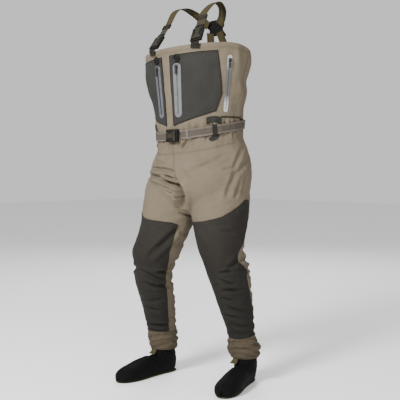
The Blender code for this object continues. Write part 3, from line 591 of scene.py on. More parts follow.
def relaxed(points, edges, rounds, weight):
    """The points moved towards the middle of their neighbours."""
    count = len(points)
    degree = np.bincount(edges.ravel(), minlength=count)[:, None]
    points = points.copy()
    for _ in range(rounds):
        total = np.zeros_like(points)
        for k in range(3):
            total[:, k] = np.bincount(edges[:, 0], points[edges[:, 1], k], count)
            total[:, k] += np.bincount(edges[:, 1], points[edges[:, 0], k], count)
        points += weight * (total / degree - points)
    return points


def normals_of(points, faces):
    cross = np.cross(points[faces[:, 2]] - points[faces[:, 0]], points[faces[:, 3]] - points[faces[:, 1]])
    normals = np.zeros_like(points)
    for corner in range(4):
        for k in range(3):
            normals[:, k] += np.bincount(faces[:, corner], cross[:, k], len(points))
    return normals / np.maximum(np.linalg.norm(normals, axis=1, keepdims=True), 1e-12)


def around_legs(points):
    """Each point's angle round its own leg, in radians."""
    turn = np.zeros(len(points))
    for side, table in LEGS.items():
        own = points[:, 0] * SIGN[side] > 0
        centre = spline(table, points[own, 2])
        turn[own] = np.arctan2(points[own, 0] - centre[:, 0], centre[:, 1] - points[own, 1])
    return turn


def hip_angle(points):
    """The angle of each point round the waist, in degrees from the front."""
    return np.degrees(np.arctan2(points[:, 0] / 0.21, -(points[:, 1] - 0.008) / 0.16))


def trouser_folds(points):
    """How far the cloth stands in or out at these points."""
    x, z = points[:, 0], points[:, 2]
    lift = 0.0026 * noise(points * (1, 1, 0.75), 0.060, 21) + 0.0013 * noise(points, 0.026, 22)
    lift += 0.0007 * noise(points * (0.6, 0.6, 1.5), 0.014, 23)
    for path, width, depth in crease_list():
        low, high = path.min(0) - 6 * width, path.max(0) + 6 * width
        near = np.all((points > low) & (points < high), axis=1)
        lift[near] += crease(points[near], path, width, depth)
    # Gathers that fade downwards from the belt
    angle = hip_angle(points)
    under = np.clip(belt_height(angle) - 0.016 - z, 0, 1)
    turn = np.radians(angle)
    ripple = np.sin(27 * turn + 4 * np.sin(3 * turn)) + 0.6 * np.sin(47 * turn + 0.7)
    lift += 0.0028 * np.exp(-under / 0.022) * ripple
    lift += 0.0022 * hump(under, 0.022, 0.014)
    # Small cross folds behind the knees and above the cuffs
    turn = around_legs(points)
    behind = smoothstep((np.abs(turn) - 1.5) / 0.9)
    for side, height, reach in (("right", 0.430, 0.055), ("left", 0.480, 0.050)):
        own = (x * SIGN[side] > 0) * hump(z, height, reach)
        sway = 3.5 * noise(points, 0.045, 27) + 1.5 * np.sin(2 * turn)
        uneven = 0.6 + 0.7 * noise(points, 0.05, 28)
        lift += own * behind * 0.0011 * np.sin(z * 150 + sway) * uneven
    sway = 3.0 * noise(points, 0.040, 29) + 2.2 * np.sin(turn + 0.5)
    return lift + hump(z, 0.205, 0.030) * 0.0020 * np.sin(z * 190 + sway)


def make_trousers():
    """The cloth from the waist to the ankles, and a tree that finds it along a ray."""
    turn = np.arange(0, 360, 5.0)[None]
    parts = [loft_part(torso(turn, np.linspace(CHEST_KINK, 0.69, 60)[:, None]))]
    for side in LEGS:
        parts.append(loft_part(leg(side, turn, np.linspace(0.860, 0.135, 110)[:, None])))
    points, faces = remeshed(parts)
    edges = np.unique(np.sort(sides_of(faces), axis=1), axis=0)
    points = relaxed(points, edges, 4, 0.5)
    crotch = hump(points[:, 2], 0.735, 0.075) * hump(points[:, 0], 0, 0.11)
    points = relaxed(points, edges, 60, 0.6 * crotch[:, None])
    points = points + normals_of(points, faces) * trouser_folds(points)[:, None]
    points = relaxed(points, edges, 1, 0.3)
    # Only the cloth between the belt and the ankles stays, as a sheet with closed edges
    keep = (points[:, 2] < belt_height(hip_angle(points)) + 0.010) & (points[:, 2] > 0.150)
    faces = faces[keep[faces].all(axis=1)]
    used = np.unique(faces)
    index = np.full(len(points), -1)
    index[used] = np.arange(len(used))
    points, faces = points[used], index[faces]
    inner = points - normals_of(points, faces) * CLOTH_THICKNESS
    ends = sides_of(faces)
    _, first, number = np.unique(np.sort(ends, axis=1), axis=0, return_index=True, return_counts=True)
    start, end = ends[first[number == 1]].T
    count = len(points)
    walls = np.column_stack([end, start, count + start, count + end])
    every = np.concatenate([faces, faces[:, ::-1] + count, walls])
    piece(
        "trouser_cloth", np.concatenate([points, inner]), every.tolist(), "tan", "tan_fabric",
        replaces=("seat_shell", "left_leg_shell", "right_leg_shell"), sharp=80,
    )
    return BVHTree.FromPolygons(points.tolist(), faces.tolist())


def cast(tree, start, towards):
    """The first point of the cloth from each start point in this direction."""
    found = np.array(start, dtype=float)
    shape = found.shape
    starts, ways = found.reshape(-1, 3), np.broadcast_to(towards, shape).reshape(-1, 3)
    for i, (begin, way) in enumerate(zip(starts, ways)):
        hit = tree.ray_cast(Vector(begin), Vector(way).normalized(), 0.12)[0]
        if hit is not None:
            starts[i] = hit
    return starts.reshape(shape)


def on_leg(tree, side, angle, height, offset):
    """Points on the cloth of a leg or hip, seen from the leg's middle."""
    angle, height = np.broadcast_arrays(np.asarray(angle, dtype=float), np.asarray(height, dtype=float))
    centre_x, centre_y, radius = np.moveaxis(spline(LEGS[side], height), -1, 0)
    turn = np.radians(angle)
    out = np.stack([np.sin(turn), -np.cos(turn), np.zeros_like(turn)], axis=-1)
    middle = np.stack([centre_x, centre_y, height], axis=-1)
    reach = radius + 0.075
    inward = out[..., 0] * SIGN[side] < -0.05
    to_middle = np.abs(centre_x) / np.maximum(np.abs(out[..., 0]), 0.05) - 0.0005
    reach = np.where(inward, np.minimum(reach, to_middle), reach)
    return cast(tree, middle + out * reach[..., None], -out) + out * offset


def on_hip(tree, angle, height, offset):
    outer = torso(angle, height, 0.05)
    way = unit(torso(angle, height) - outer)
    return cast(tree, outer, way) - way * offset


def panel_edges(height):
    heights, starts, ends = np.array(sorted(PANEL_EDGES)).T
    return np.interp(height, heights, starts), np.interp(height, heights, ends)


def make_leg_front(tree, side):
    """The dark cloth over the front of a leg, with a stitched seam round it."""
    low = 0.201 if side == "left" else 0.191
    heights = np.concatenate([
        np.linspace(0.745, 0.666, 26), np.linspace(0.664, 0.636, 36), np.linspace(0.632, low, 112),
    ])
    start, end = panel_edges(heights)
    share = np.linspace(0, 1, 44)
    angles = SIGN[side] * (start[:, None] + (end - start)[:, None] * share)
    dip = 0.012 * np.sin(math.pi * share) * smoothstep((0.26 - heights) / 0.07)[:, None]
    rows = heights[:, None] - dip * (0.1 if side == "right" else 1.0)
    surface = on_leg(tree, side, angles, rows, 0.0)
    centre = spline(LEGS[side], rows)
    out = surface - np.stack([centre[..., 0], centre[..., 1], rows], axis=-1)
    out[..., 2] = 0
    out = unit(out)
    outer, inner = surface + out * 0.0021, surface + out * 0.0009
    skin(
        f"{side}_leg_front", outer, inner, "dark", "dark_fabric",
        replaces=(f"{side}_leg_panel",), sharp=60,
    )
    parts = []
    for line in (outer[:, 1], outer[:, -2], outer[-2]):
        parts += stitch_parts(line, 0.0042, 0.0028, 0.00042)
    several(f"{side}_leg_front_stitching", parts, "dark_thread", "dark_fabric")
    welt = np.concatenate([outer[:, 0], outer[-1], outer[::-1, -1]])
    several(f"{side}_leg_front_welt", [tube_part(welt[::2], 0.0010)], "dark_edge", "dark_fabric")


def make_seams(tree):
    """The centre-front and centre-back seams, the waist seam and the inside leg seams."""
    front = ((-5, 0.978), (-4, 0.950), (0, 0.921), (4, 0.871), (7, 0.823), (7, 0.775), (3, 0.745))
    back = ((180, 1.020), (180, 0.930), (180, 0.830), (180, 0.770))
    waist = ((-60, 0.930), (-20, 0.924), (1, 0.928), (24, 0.934), (57, 0.954), (80, 0.968))
    tapes, threads = [], []
    for points, count in ((front, 60), (back, 50), (waist, 90)):
        angle, height = through(points, count).T
        tapes.append(tube_part(on_hip(tree, angle, height, 0.0002), 0.0010))
        for gap in (-0.0035, 0.0035):
            turn, rise = (0, gap) if points is waist else (math.degrees(gap / BELT_RADIUS), 0)
            threads += stitch_parts(on_hip(tree, angle + turn, height + rise, 0.0002))
    for side in LEGS:
        for angle, top, bottom in ((-118, 0.66, 0.19), (148, 0.83, 0.19)):
            heights = np.linspace(top, bottom, 100)
            line, near = (
                on_leg(tree, side, np.full(100, SIGN[side] * turn), heights, 0.0002)
                for turn in (angle, angle + 2.4)
            )
            tapes.append(tube_part(line, 0.0009))
            threads += stitch_parts(near)
    several("trouser_seams", tapes, "tan_seam", "tan_fabric")
    several("trouser_stitching", threads, "tan_thread", "tan_fabric")


def make_cuff(side):
    """The gathered cuff over the ankle, with its stitched hem."""
    turn = np.arange(0, 360, 2.0)
    round_leg, sign = np.radians(turn)[None], SIGN[side]
    levels = np.linspace(0, 1, 60)[:, None]
    height = CUFF_TOP - CUFF_DEPTH * levels
    fulness = np.interp(levels, (0, 0.16, 0.40, 0.60, 0.82, 1), (0, 0.35, 1.15, 1.2, 0.55, 0.0))
    shape = np.interp(levels, (0, 0.12, 0.35, 0.75, 0.95, 1), (0, 0.5, 1, 1, 0.25, 0.05))
    wave = 0.0026 * np.sin(3.0 * round_leg + 14 * levels + sign)
    wave = wave + 0.0022 * np.sin(7 * round_leg + 9 * np.sin(2.4 * levels + round_leg))
    roll = 0.0030 * np.sin(levels * 19 + 1.8 * np.sin(round_leg * 2 + 0.4 * sign))
    gather = 0.0014 * np.sin(34 * round_leg + 2 * np.sin(5 * round_leg)) * smoothstep((levels - 0.78) / 0.1)
    folds = shape * (wave + roll) * (0.75 if side == "right" else 1.0)
    offset = np.maximum(0.0024 + CUFF_FULNESS[side] * fulness + folds + gather, 0.0016)
    points = leg(side, turn[None], height, offset)
    points[..., 2] += shape * 0.0030 * np.sin(2 * round_leg + sign)
    inner = points - (leg(side, turn[None], height, 0.0014) - leg(side, turn[None], height))
    # Painted shade: the cuff's tan is darker than the rest of the cloth
    skin(
        f"{side}_cuff", points, inner, "tan_cuff_painted_shade", "tan_fabric", closed=True,
        replaces=(f"{side}_gravel_guard",), sharp=70,
    )
    threads = []
    for row in (3, 52):
        line = leg(side, np.append(turn, 0), height[row, 0], np.append(offset[row], offset[row, 0]) + 0.0002)
        line[:, 2] = np.append(points[row, :, 2], points[row, 0, 2])
        threads += stitch_parts(line)
    several(f"{side}_cuff_stitching", threads, "tan_thread", "tan_fabric")


# ---------------------------------------------------------------- bib

def make_bib():
    turn = np.arange(0, 360, 1.5)[None]
    low = belt_height(turn) - 0.010
    height = low + (top_height(turn) - low) * np.linspace(0, 1, 110)[:, None]
    sheet(
        "bib_cloth", bib, turn, height, (0.0004, -0.0014), "tan", "tan_fabric",
        closed=True, replaces=("bib_shell",), sharp=70,
    )
    make_hem(turn)
    turn = np.arange(0, 360.1, 0.75)
    threads, seams = [], []
    for drop, lift in ((0.0188, 0.0013), (0.0150, 0.0014)):
        threads += stitch_parts(bib(turn, top_height(turn) - drop, lift))
    # The join between the chest and the sides, and the back seam
    for angle in (-SEAM_ANGLE, SEAM_ANGLE, 180.0):
        foot, top = float(belt_height(angle)) + 0.02, float(top_height(angle))
        seams.append(tube_part(bib(angle, np.linspace(foot, top - 0.022, 120), 0.0005), 0.0010))
        for gap in (-0.9, 0.9) if angle != 180.0 else ():
            threads += stitch_parts(bib(angle + gap, np.linspace(foot, top - 0.023, 120), 0.0007))
    several("bib_stitching", threads, "tan_thread", "tan_fabric")
    several("bib_seams", seams, "tan_seam", "tan_fabric")


def make_hem(turn):
    """The top edge turned over on itself, puckered by its stitches."""
    top = top_height(turn)
    rise = np.array([-0.0220, -0.0205, -0.0140, -0.0060, -0.0012, 0.0004, 0.0006])[:, None]
    out = np.array([0.0006, 0.0011, 0.0013, 0.0013, 0.0011, 0.0005, -0.0003])[:, None]
    back = np.array([-0.0215, -0.0205, -0.0140, -0.0060, -0.0012, -0.0002, 0.0003])[:, None]
    behind = np.array([0.0002, 0.0002, 0.0002, 0.0002, 0.0, -0.0008, -0.0012])[:, None]
    pucker = 0.0005 * np.sin(np.radians(turn) * 61) * hump(rise, -0.013, 0.006)
    outer, inner = bib(turn, top + rise, out + pucker), bib(turn, top + back, behind)
    skin(
        "top_hem_band", outer, inner, "tan_hem", "tan_fabric",
        closed=True, replaces=("top_hem",), sharp=70,
    )


def pocket_grid(side, rows, columns, offset):
    """Points over a chest pocket."""
    table = np.array(POCKET_ROWS)
    level = np.linspace(0, len(table) - 1, rows)
    knots = np.arange(len(table))
    outer_angle, inner_height, outer_height = (
        np.interp(level, knots, column)[:, None] for column in table.T
    )
    share = np.linspace(0, 1, columns)
    angle = CHEST_TWIST + SIGN[side] * (POCKET_INNER + (outer_angle - POCKET_INNER) * share)
    height = inner_height + (outer_height - inner_height) * share
    height = height + TOP_ROLL * torso(angle, height)[..., 0] * (height - 1.0) / 0.3
    puff = 0.0024 * np.sin(math.pi * np.clip((share - 0.28) / 0.72, 0, 1)) ** 0.7
    puff = puff * np.sin(math.pi * np.clip(level / level[-1], 0, 1))[:, None] ** 0.6
    return bib(angle, height, offset + puff)


def make_pocket(side):
    outer, inner = (pocket_grid(side, 91, 61, offset) for offset in (0.0024, 0.0010))
    skin(
        f"{side}_pocket_cloth", outer, inner, "pocket", "pocket_fabric",
        replaces=(f"{side}_chest_pocket",), sharp=60,
    )
    rim = np.concatenate([outer[0], outer[1:, -1], outer[-1, -2::-1], outer[-2:0:-1, 0], outer[:1, 0]])
    several(f"{side}_pocket_piping", [tube_part(rim, 0.0013)], "piping", "pocket_fabric")
    near = outer[2:-2, 2:-2]
    inside = np.concatenate([near[0], near[:, -1], near[-1][::-1], near[::-1, 0]])
    several(f"{side}_pocket_stitching", stitch_parts(inside), "dark_thread", "pocket_fabric")


def capsule(middle, half_width, heights, offset, shrink=0.0):
    """A grid on the bib over a strip with round ends; half_width and shrink are in metres."""
    low, high = heights[0] + shrink, heights[1] - shrink
    half = half_width - shrink
    bend = np.linspace(0, math.pi / 2, 12)
    drop = half * (1 - np.cos(bend))
    straight = np.linspace(high - half, low + half, 60)[1:-1]
    levels = np.concatenate([high - drop, straight, (low + drop)[::-1]])
    width = np.concatenate([np.sin(bend), np.ones(len(straight)), np.sin(bend)[::-1]])
    spread = np.degrees(half / BIB_RADIUS) * np.clip(width, 0.06, 1)[:, None] * np.linspace(-1, 1, 9)
    return bib(middle + spread, levels[:, None], offset)


def make_zip(name, middle, half_width, heights, offset, film, edge):
    """A welded film frame over a zip, with a bead round its rim."""
    outer, inner = (capsule(middle, half_width, heights, offset + lift) for lift in (0.0008, -0.0011))
    skin(f"{name}_film", outer, inner, film, "zip_film", replaces=(f"{name}_zip",), sharp=60)
    ring = capsule(middle, half_width, heights, offset + 0.0007, FILM_WELD)
    rim = np.concatenate([ring[:, 0], ring[::-1, -1], ring[:1, 0]])
    parts = [tube_part(rim, 0.0007)]
    if edge:
        track = np.linspace(heights[1] - half_width * 1.2, heights[0] + half_width * 1.2, 70)
        for gap in (-0.62, 0.62):
            line = bib(middle + np.degrees(gap * half_width / BIB_RADIUS), track, offset + 0.0008)
            parts.append(tube_part(line, 0.0006, 5))
    several(f"{name}_welds", parts, edge or film, "zip_film")


def make_slit(name, middle, half_width, heights, offset):
    """The closed slit of a zip whose teeth are hidden."""
    track = np.linspace(heights[1] - half_width, heights[0] + half_width, 70)
    several(f"{name}_slit", [tube_part(bib(middle, track, offset + 0.0009), 0.0008, 5)], "coil", "zip_film")


def make_teeth(name, middle, half_width, heights, offset, coil, tape):
    """The tape down the middle of a zip, and the coil on it."""
    track = np.linspace(heights[1] - half_width * 0.9, heights[0] + half_width * 0.9, 80)
    spread = np.linspace(-1, 1, 5) * np.degrees(half_width * 0.26 / BIB_RADIUS)
    sheet(
        f"{name}_tape", bib, middle + spread[None], track[:, None], (offset + 0.0010, offset + 0.0002),
        tape, "zip_film", sharp=60,
    )
    parts = []
    ends = np.degrees(np.array([-1, 1]) * half_width * 0.13 / BIB_RADIUS)
    for i in range(int((track[0] - track[-1]) / COIL_PITCH)):
        z = track[0] - i * COIL_PITCH
        lean = 0.055 if i % 2 else -0.055
        start, end = bib(middle + ends + lean, np.array([z, z - 0.0004]), offset + 0.0011)
        parts.append(tube_part([start, (start + end) / 2, end], 0.00062, 5))
    several(f"{name}_coil", parts, coil, "zip_film")


def local_frame(angle, height, offset):
    """Place and axes on the bib: along the waist, outwards and down the cloth."""
    across = unit(torso(angle + 0.5, height) - torso(angle - 0.5, height))
    down = unit(torso(angle, height - 0.01) - torso(angle, height + 0.01))
    out = unit(np.cross(down, across))
    return torso(angle, height, offset), np.cross(out, down), out, down


def in_frame(local, axes):
    place, across, out, down = axes
    local = np.asarray(local)
    return place + local[..., :1] * across + local[..., 1:2] * out + local[..., 2:] * down


def make_garage(side):
    """The moulded cap that the closed slider parks under: a dished disc with a rim and a mouth."""
    angle = CHEST_TWIST + SIGN[side] * CHEST_ZIP_ANGLE
    axes = local_frame(angle, CHEST_ZIP_HEIGHTS[1] + 0.0145, 0.0043)
    profile = (
        (1.0, 0.0), (1.0, 0.0022), (0.96, 0.0036), (0.88, 0.0044), (0.80, 0.0042), (0.70, 0.0031),
        (0.55, 0.0026), (0.40, 0.0030), (0.25, 0.0034), (0.10, 0.0036), (0.02, 0.0036),
    )
    turn = np.radians(np.arange(0, 361, 9.0))

    def ring(radius, lift):
        return flat_ring(np.column_stack([radius * np.sin(turn), -0.004 - radius * np.cos(turn)]), lift)

    rings = np.array([ring(GARAGE_RADIUS * share, lift)[:-1] for share, lift in profile])
    several(
        f"{side}_garage_cap", [loft_part(in_frame(rings, axes))], "plastic", "buckle_plastic",
        replaces=(f"{side}_zip_garage",), sharp=45,
    )
    bead = tube_part(in_frame(ring(0.0072, 0.0036), axes), 0.0009)
    several(f"{side}_garage_ring", [bead], "plastic_dark", "buckle_plastic")


# ---------------------------------------------------------------- belt

def belt_surface(angle, rise, offset):
    middle = belt_height(angle)
    wave = 0.0006 * np.sin(np.radians(angle) * 13) + 0.0005 * np.sin(np.radians(angle) * 29 + 1)
    return torso(angle, middle + rise, offset + wave)


def make_belt():
    """The ribbed belt with a lighter line along each edge, and the keeper on its doubled end."""
    angle = np.linspace(BELT_END_ANGLE, 360 - BELT_END_ANGLE, 260)[None]
    rise = np.linspace(BELT_WIDTH / 2, -BELT_WIDTH / 2, 19)[:, None]
    rib = 0.00018 * np.cos(np.arange(19) * math.pi)
    rib[[0, -1]] = -0.0006
    sheet(
        "belt_webbing", belt_surface, angle, rise, (0.0072 + rib[:, None], 0.0050),
        "webbing", "webbing", replaces=("waist_belt",), sharp=60,
    )
    parts = []
    crown = np.array([0.0, 0.0004, 0.0004, 0.0])[:, None]
    for place in (0.0143, -0.0143):
        rows = np.linspace(place + 0.0026, place - 0.0026, 4)[:, None]
        grids = [belt_surface(angle, rows, offset).reshape(-1, 3) for offset in (0.0075 + crown, 0.0066)]
        parts.append((np.concatenate(grids), skin_faces(4, 260, False)))
    several("belt_edges", parts, "webbing_edge", "webbing")
    keeper = np.linspace(18.5, 21.5, 5)[None]
    rows = np.linspace(BELT_WIDTH / 2 + 0.002, -BELT_WIDTH / 2 - 0.002, 9)[:, None]
    sheet("belt_keeper", belt_surface, keeper, rows, (0.0092, 0.0080), "webbing_edge", "webbing", sharp=60)


def make_loop(place, angle):
    """A webbing loop over the belt, with its ends sewn to the cloth."""
    rise = np.linspace(0.034, -0.034, 40)[:, None]
    places, stands = (0, 0.012, 0.019, 0.025, 0.034), (0.0102, 0.0096, 0.0086, 0.0036, 0.0026)
    stand = np.interp(np.abs(rise), places, stands)
    half = math.degrees((0.011 if place == "back" else 0.0085) / BELT_RADIUS)
    sheet(
        f"{place}_loop_webbing", torso, angle + np.linspace(-half, half, 7)[None], belt_height(angle) + rise,
        (stand + 0.0014, stand), "loop", "dark_fabric", replaces=(f"{place}_belt_loop",), sharp=60,
    )


def make_patch(side, angle):
    """The bar above a side loop."""
    middle = float(belt_height(angle)) + 0.035
    share = np.linspace(-1, 1, 31)
    droop = 0.006 * share ** 2
    top = middle + 0.018 - droop
    low = middle - 0.013 + 0.006 * np.exp(-(share / 0.6) ** 4) - droop * 0.3
    height = top[None] + (low - top)[None] * np.linspace(0, 1, 9)[:, None]
    outer = sheet(
        f"{side}_patch", bib, angle + 10 * share[None], height, (0.0026, 0.0008), "patch", "dark_fabric",
        replaces=(f"{side}_loop_patch",), sharp=60,
    )
    rim = np.concatenate([outer[1, 1:-1], outer[1:-1, -2], outer[-2, 1:-1][::-1], outer[1:-1, 1][::-1]])
    several(f"{side}_patch_stitching", stitch_parts(rim), "dark_thread", "dark_fabric")


def make_lower_patch(tree, side, angle):
    """The crescent below the belt, under a side loop."""
    share = np.linspace(-1, 1, 27)
    top = float(belt_height(angle)) - 0.0165 + 0.10 * np.radians(9.0 * share) * SIGN[side]
    depth = 0.0190 * np.sqrt(np.clip(1 - share ** 2, 0, 1)) + 0.0015
    height = top[None] - depth[None] * np.linspace(0, 1, 7)[:, None]
    outer, inner = (on_hip(tree, angle + 9.0 * share[None], height, offset) for offset in (0.0032, 0.0006))
    skin(f"{side}_lower_patch", outer, inner, "patch", "dark_fabric", sharp=60)


def make_side_tape(side):
    """The narrow tape from a side loop round to the back, over the belt."""
    route = ((64, 0.046), (74, 0.041), (86, 0.035), (98, 0.028), (108, 0.018), (117, 0.004))
    turn, rise = through(route, 60).T
    angle = SIGN[side] * turn
    height = (belt_height(angle) + rise)[None] + np.linspace(0.0032, -0.0032, 4)[:, None]
    sheet(
        f"{side}_side_tape", bib, angle[None], height, (0.0022, 0.0006),
        "olive_tape", "dark_fabric", sharp=60,
    )


# ---------------------------------------------------------------- braces

def strap_line(side):
    """A brace's foot at the top hem, the direction up it, and its top."""
    angle = STRAP_ANGLES[side]
    foot = torso(angle, float(top_height(angle)) + 0.005, 0.005)
    top = np.array(LINE_TOPS[side])
    return foot, unit(top - foot), top


def strap_parts(path, across):
    """A ribbed elastic strap and the lines along its edges."""
    side = band_axes(path, across)[1]
    lines = [
        band_part(path + side * STRAP_WIDTH * place, across, 0.0014, 0.0030, 3)
        for place in (-0.36, -0.27, 0.27, 0.36)
    ]
    return [band_part(path, across, STRAP_WIDTH, 0.0022, 15)], lines


def make_brace(side):
    """The elastic from the buckle over the shoulder to the yoke, and all that is sewn to its foot."""
    sign = SIGN[side]
    foot, up, top = strap_line(side)
    across = np.array((1, sign * 0.10, 0.0))
    start = foot + up * (BUCKLE_START + BUCKLE_LENGTH + 0.0003)
    bend = top - up * 0.01
    route = [
        start, start + (bend - start) * 0.5, bend,
        (sign * 0.100, -0.043, 1.512), (sign * 0.093, 0.002, 1.529), (sign * 0.080, 0.045, 1.515),
        (sign * 0.055, 0.073, 1.487), (sign * 0.031, 0.083, 1.462),
    ]
    widths = [
        across, across, across, (1, 0, 0), (1, 0, 0), (0.95, 0.10 * sign, -0.25 * sign),
        (0.85, 0.15 * sign, -0.45 * sign), (0.74, 0.2 * sign, -0.63 * sign),
    ]
    path, turn = through(route, 150), through(widths, 150)
    near = [band_part(path[:WEBBING_ROWS], turn[:WEBBING_ROWS], STRAP_WIDTH, 0.0022, 9)]
    strap = f"{side}_shoulder_strap"
    several(f"{side}_brace_webbing", near, "webbing_dark", "elastic", replaces=(strap,), sharp=60)
    make_strap(f"{side}_brace", path[WEBBING_ROWS - 1:], turn[WEBBING_ROWS - 1:], strap)
    make_brace_foot(side, foot, up, across, start)

    # The tab on the hem that holds the buckle's lower half
    angle = STRAP_ANGLES[side]
    tangent = unit(torso(angle + 0.5, foot[2]) - torso(angle - 0.5, foot[2]))
    route = [torso(angle, foot[2] - drop, 0.0065) for drop in (0.022, 0.013)]
    route += [foot - up * 0.004 + (0, -0.0008, 0), foot + up * (BUCKLE_START - 0.0015)]
    turn = through([tangent, tangent, across, across], 30)
    tab = band_part(through(route, 30), turn, STRAP_WIDTH, 0.0024, 9)
    several(f"{side}_brace_tab", [tab], "tab", "elastic", replaces=(f"{side}_strap_tab",), sharp=60)

    route = [
        (sign * 0.025, 0.0895, 1.432), (sign * 0.037, 0.106, 1.385), (sign * 0.053, 0.130, 1.335),
        (sign * 0.064, 0.1445, 1.302), (sign * 0.069, 0.1455, 1.280), (sign * 0.073, 0.1435, 1.250),
    ]
    widths = [(0.95, -0.1 * sign, 0.25 * sign), (1, -0.1 * sign, 0.2 * sign), (1, -0.2 * sign, 0.1 * sign)]
    widths += [(0.98, -0.21 * sign, 0)] * 3
    make_strap(f"{side}_back_brace", through(route, 90), through(widths, 90), f"{side}_back_strap")


def make_strap(name, path, turn, replaced):
    """An elastic strap that stands for a CAD strap, with its edge lines."""
    base, lines = strap_parts(path, turn)
    several(name, base, "elastic", "elastic", replaces=(replaced,), sharp=60)
    several(f"{name}_lines", lines, "elastic_line", "elastic")


def make_brace_foot(side, foot, up, across, start):
    """The doubled end from the buckle to the adjuster, the buckle's face, and the keeper bands."""
    normal = unit(np.cross(across, up))
    if normal[1] > 0:
        normal = -normal
    end = foot + up * 0.0855
    lay = through([start + up * 0.002, (start + end) / 2, end], 24) + normal * 0.0025
    parts = [band_part(lay, np.tile(across, (24, 1)), STRAP_WIDTH - 0.001, 0.0018, 9)]
    several(f"{side}_brace_doubled", parts, "webbing_dark", "elastic")
    make_buckle_face(f"{side}_strap_buckle", foot + up * (BUCKLE_START + 0.042), across, -up)
    parts = []
    for rise in (0.0755, 0.0825):
        place = foot + up * rise
        lay = through([place - up * 0.003, place, place + up * 0.003], 5) + normal * 0.0010
        parts.append(band_part(lay, np.tile(across, (5, 1)), STRAP_WIDTH + 0.003, 0.0070, 5))
    several(f"{side}_brace_bands", parts, "band", "elastic")


def mirrored(half, count):
    """A smooth closed outline through these points and their mirror image."""
    corners = list(half) + [(-x, z) for x, z in half[::-1]]
    return through(corners + corners[:1], count)[:-1]


def flat_ring(outline, lift):
    """An outline's points in a local frame, at one height above its face."""
    return np.column_stack([outline[:, 0], np.full(len(outline), lift), outline[:, 1]])


def make_buckle_face(name, place, across, down):
    """The waisted plate and side ribs on the face of a side-release buckle."""
    down = unit(np.array(down, dtype=float))
    out = unit(np.cross(down, np.array(across, dtype=float)))
    axes = (np.array(place), np.cross(out, down), out, down)
    outline = mirrored((
        (-0.0190, -0.0205), (-0.0120, -0.0120), (-0.0080, 0.0010), (-0.0095, 0.0120), (-0.0165, 0.0215),
        (-0.0195, 0.0300),
    ), 73)
    middle = outline.mean(0)
    rings = [
        in_frame(flat_ring(middle + (outline - middle) * shrink, lift), axes)
        for shrink, lift in ((1.0, 0.0058), (1.0, 0.0066), (0.93, 0.0072), (0.55, 0.0074))
    ]
    several(f"{name}_face", [loft_part(np.array(rings))], "buckle_face", "buckle_plastic", sharp=40)
    ribs = []
    for z in (0.0345, 0.0378, -0.0195, -0.0095):
        ends = [(-0.0185, 0.0060, z), (0.0, 0.0062, z), (0.0185, 0.0060, z)]
        ribs.append(tube_part(in_frame(ends, axes), 0.0007))
    several(f"{name}_ribs", ribs, "plastic_dark", "buckle_plastic")


def make_yoke():
    """The cross-shaped patch behind the neck, padded, with a stitched edge."""
    down, across = unit(np.array((0, 0.20, -1.0))), np.array((1.0, 0, 0))
    axes = (np.array((0, 0.0955, 1.449)), across, np.cross(down, across), down)
    outline = mirrored((
        (-0.026, -0.034), (-0.046, -0.020), (-0.046, -0.006), (-0.036, 0.006), (-0.050, 0.030),
        (-0.042, 0.036), (-0.018, 0.030),
    ), 85)
    outline = 0.5 * outline + 0.5 * np.roll(outline, 1, axis=0)
    profile = (
        (1.0, -0.0030), (1.01, -0.0024), (1.01, -0.0006), (0.97, 0.0002), (0.86, 0.0000), (0.82, 0.0006),
    )
    rings = np.array([in_frame(flat_ring(outline * scale, lift), axes) for scale, lift in profile])
    several("yoke_cross", [loft_part(rings)], "yoke", "yoke_patch", replaces=("back_yoke",), sharp=45)
    line = in_frame(flat_ring(outline * 0.93, 0.0004), axes)
    several("yoke_stitching", stitch_parts(line), "dark_thread", "yoke_patch")


# ---------------------------------------------------------------- feet

def foot_ring(centre_f, centre_z, reach_f, reach_z, half_width, floor, sides):
    turn = 2 * math.pi * np.arange(sides) / sides
    along = np.cos(turn)
    f = centre_f + reach_f * along
    z = np.maximum(centre_z + reach_z * along, floor)
    return np.stack([f, half_width * np.sin(turn), z], axis=-1)


def foot_rings(sides):
    """Rings from the ankle's top round the heel to the toe."""
    floor = SOLE_THICKNESS + 0.0006
    rows = []
    for z, radius in ((0.172, 0.0420), (0.140, 0.0430), (0.112, 0.0460)):
        rows.append((0.0, z, -radius, 0.0, radius))
    heel = (
        (8, 0.128, 0.047), (24, 0.146, 0.044), (40, 0.158, 0.041), (58, 0.130, 0.040), (76, 0.107, 0.041),
    )
    for angle, far, half_width in heel:
        turn = math.radians(angle)
        middle, half = (0.022 + far) / 2, (far - 0.022) / 2
        u = (-math.cos(turn), -math.sin(turn))
        rows.append((0.072 + u[0] * middle, 0.100 + u[1] * middle, u[0] * half, u[1] * half, half_width))
    fore = (
        (0.082, 0.084, 0.043), (0.125, 0.078, 0.046), (0.165, 0.067, 0.049), (0.200, 0.058, 0.045),
        (0.222, 0.050, 0.036), (0.233, 0.042, 0.024), (0.238, 0.034, 0.010),
    )
    for f, height, half_width in fore:
        half = (height - floor + 0.016) / 2
        rows.append((f, height - half, 0.0, -half, half_width))
    rows = through(rows, 96)
    return np.array([foot_ring(*row, floor, sides) for row in rows])


def foot_to_design(side, points):
    ankle_x, ankle_y, toe_out = FEET[side]
    turn = math.radians(toe_out)
    forward, sideways, up = points[..., 0], points[..., 1], points[..., 2]
    x = ankle_x + FOOT_SCALE * (forward * math.sin(turn) + sideways * math.cos(turn))
    y = ankle_y + FOOT_SCALE * (-forward * math.cos(turn) + sideways * math.sin(turn))
    leg_place = spline(LEGS[side], up)
    share = np.clip((up - 0.100) / 0.040, 0, 1)
    x = x + (leg_place[..., 0] - ankle_x) * share
    y = y + (leg_place[..., 1] - ankle_y) * share
    return np.stack([x, y, up], axis=-1)


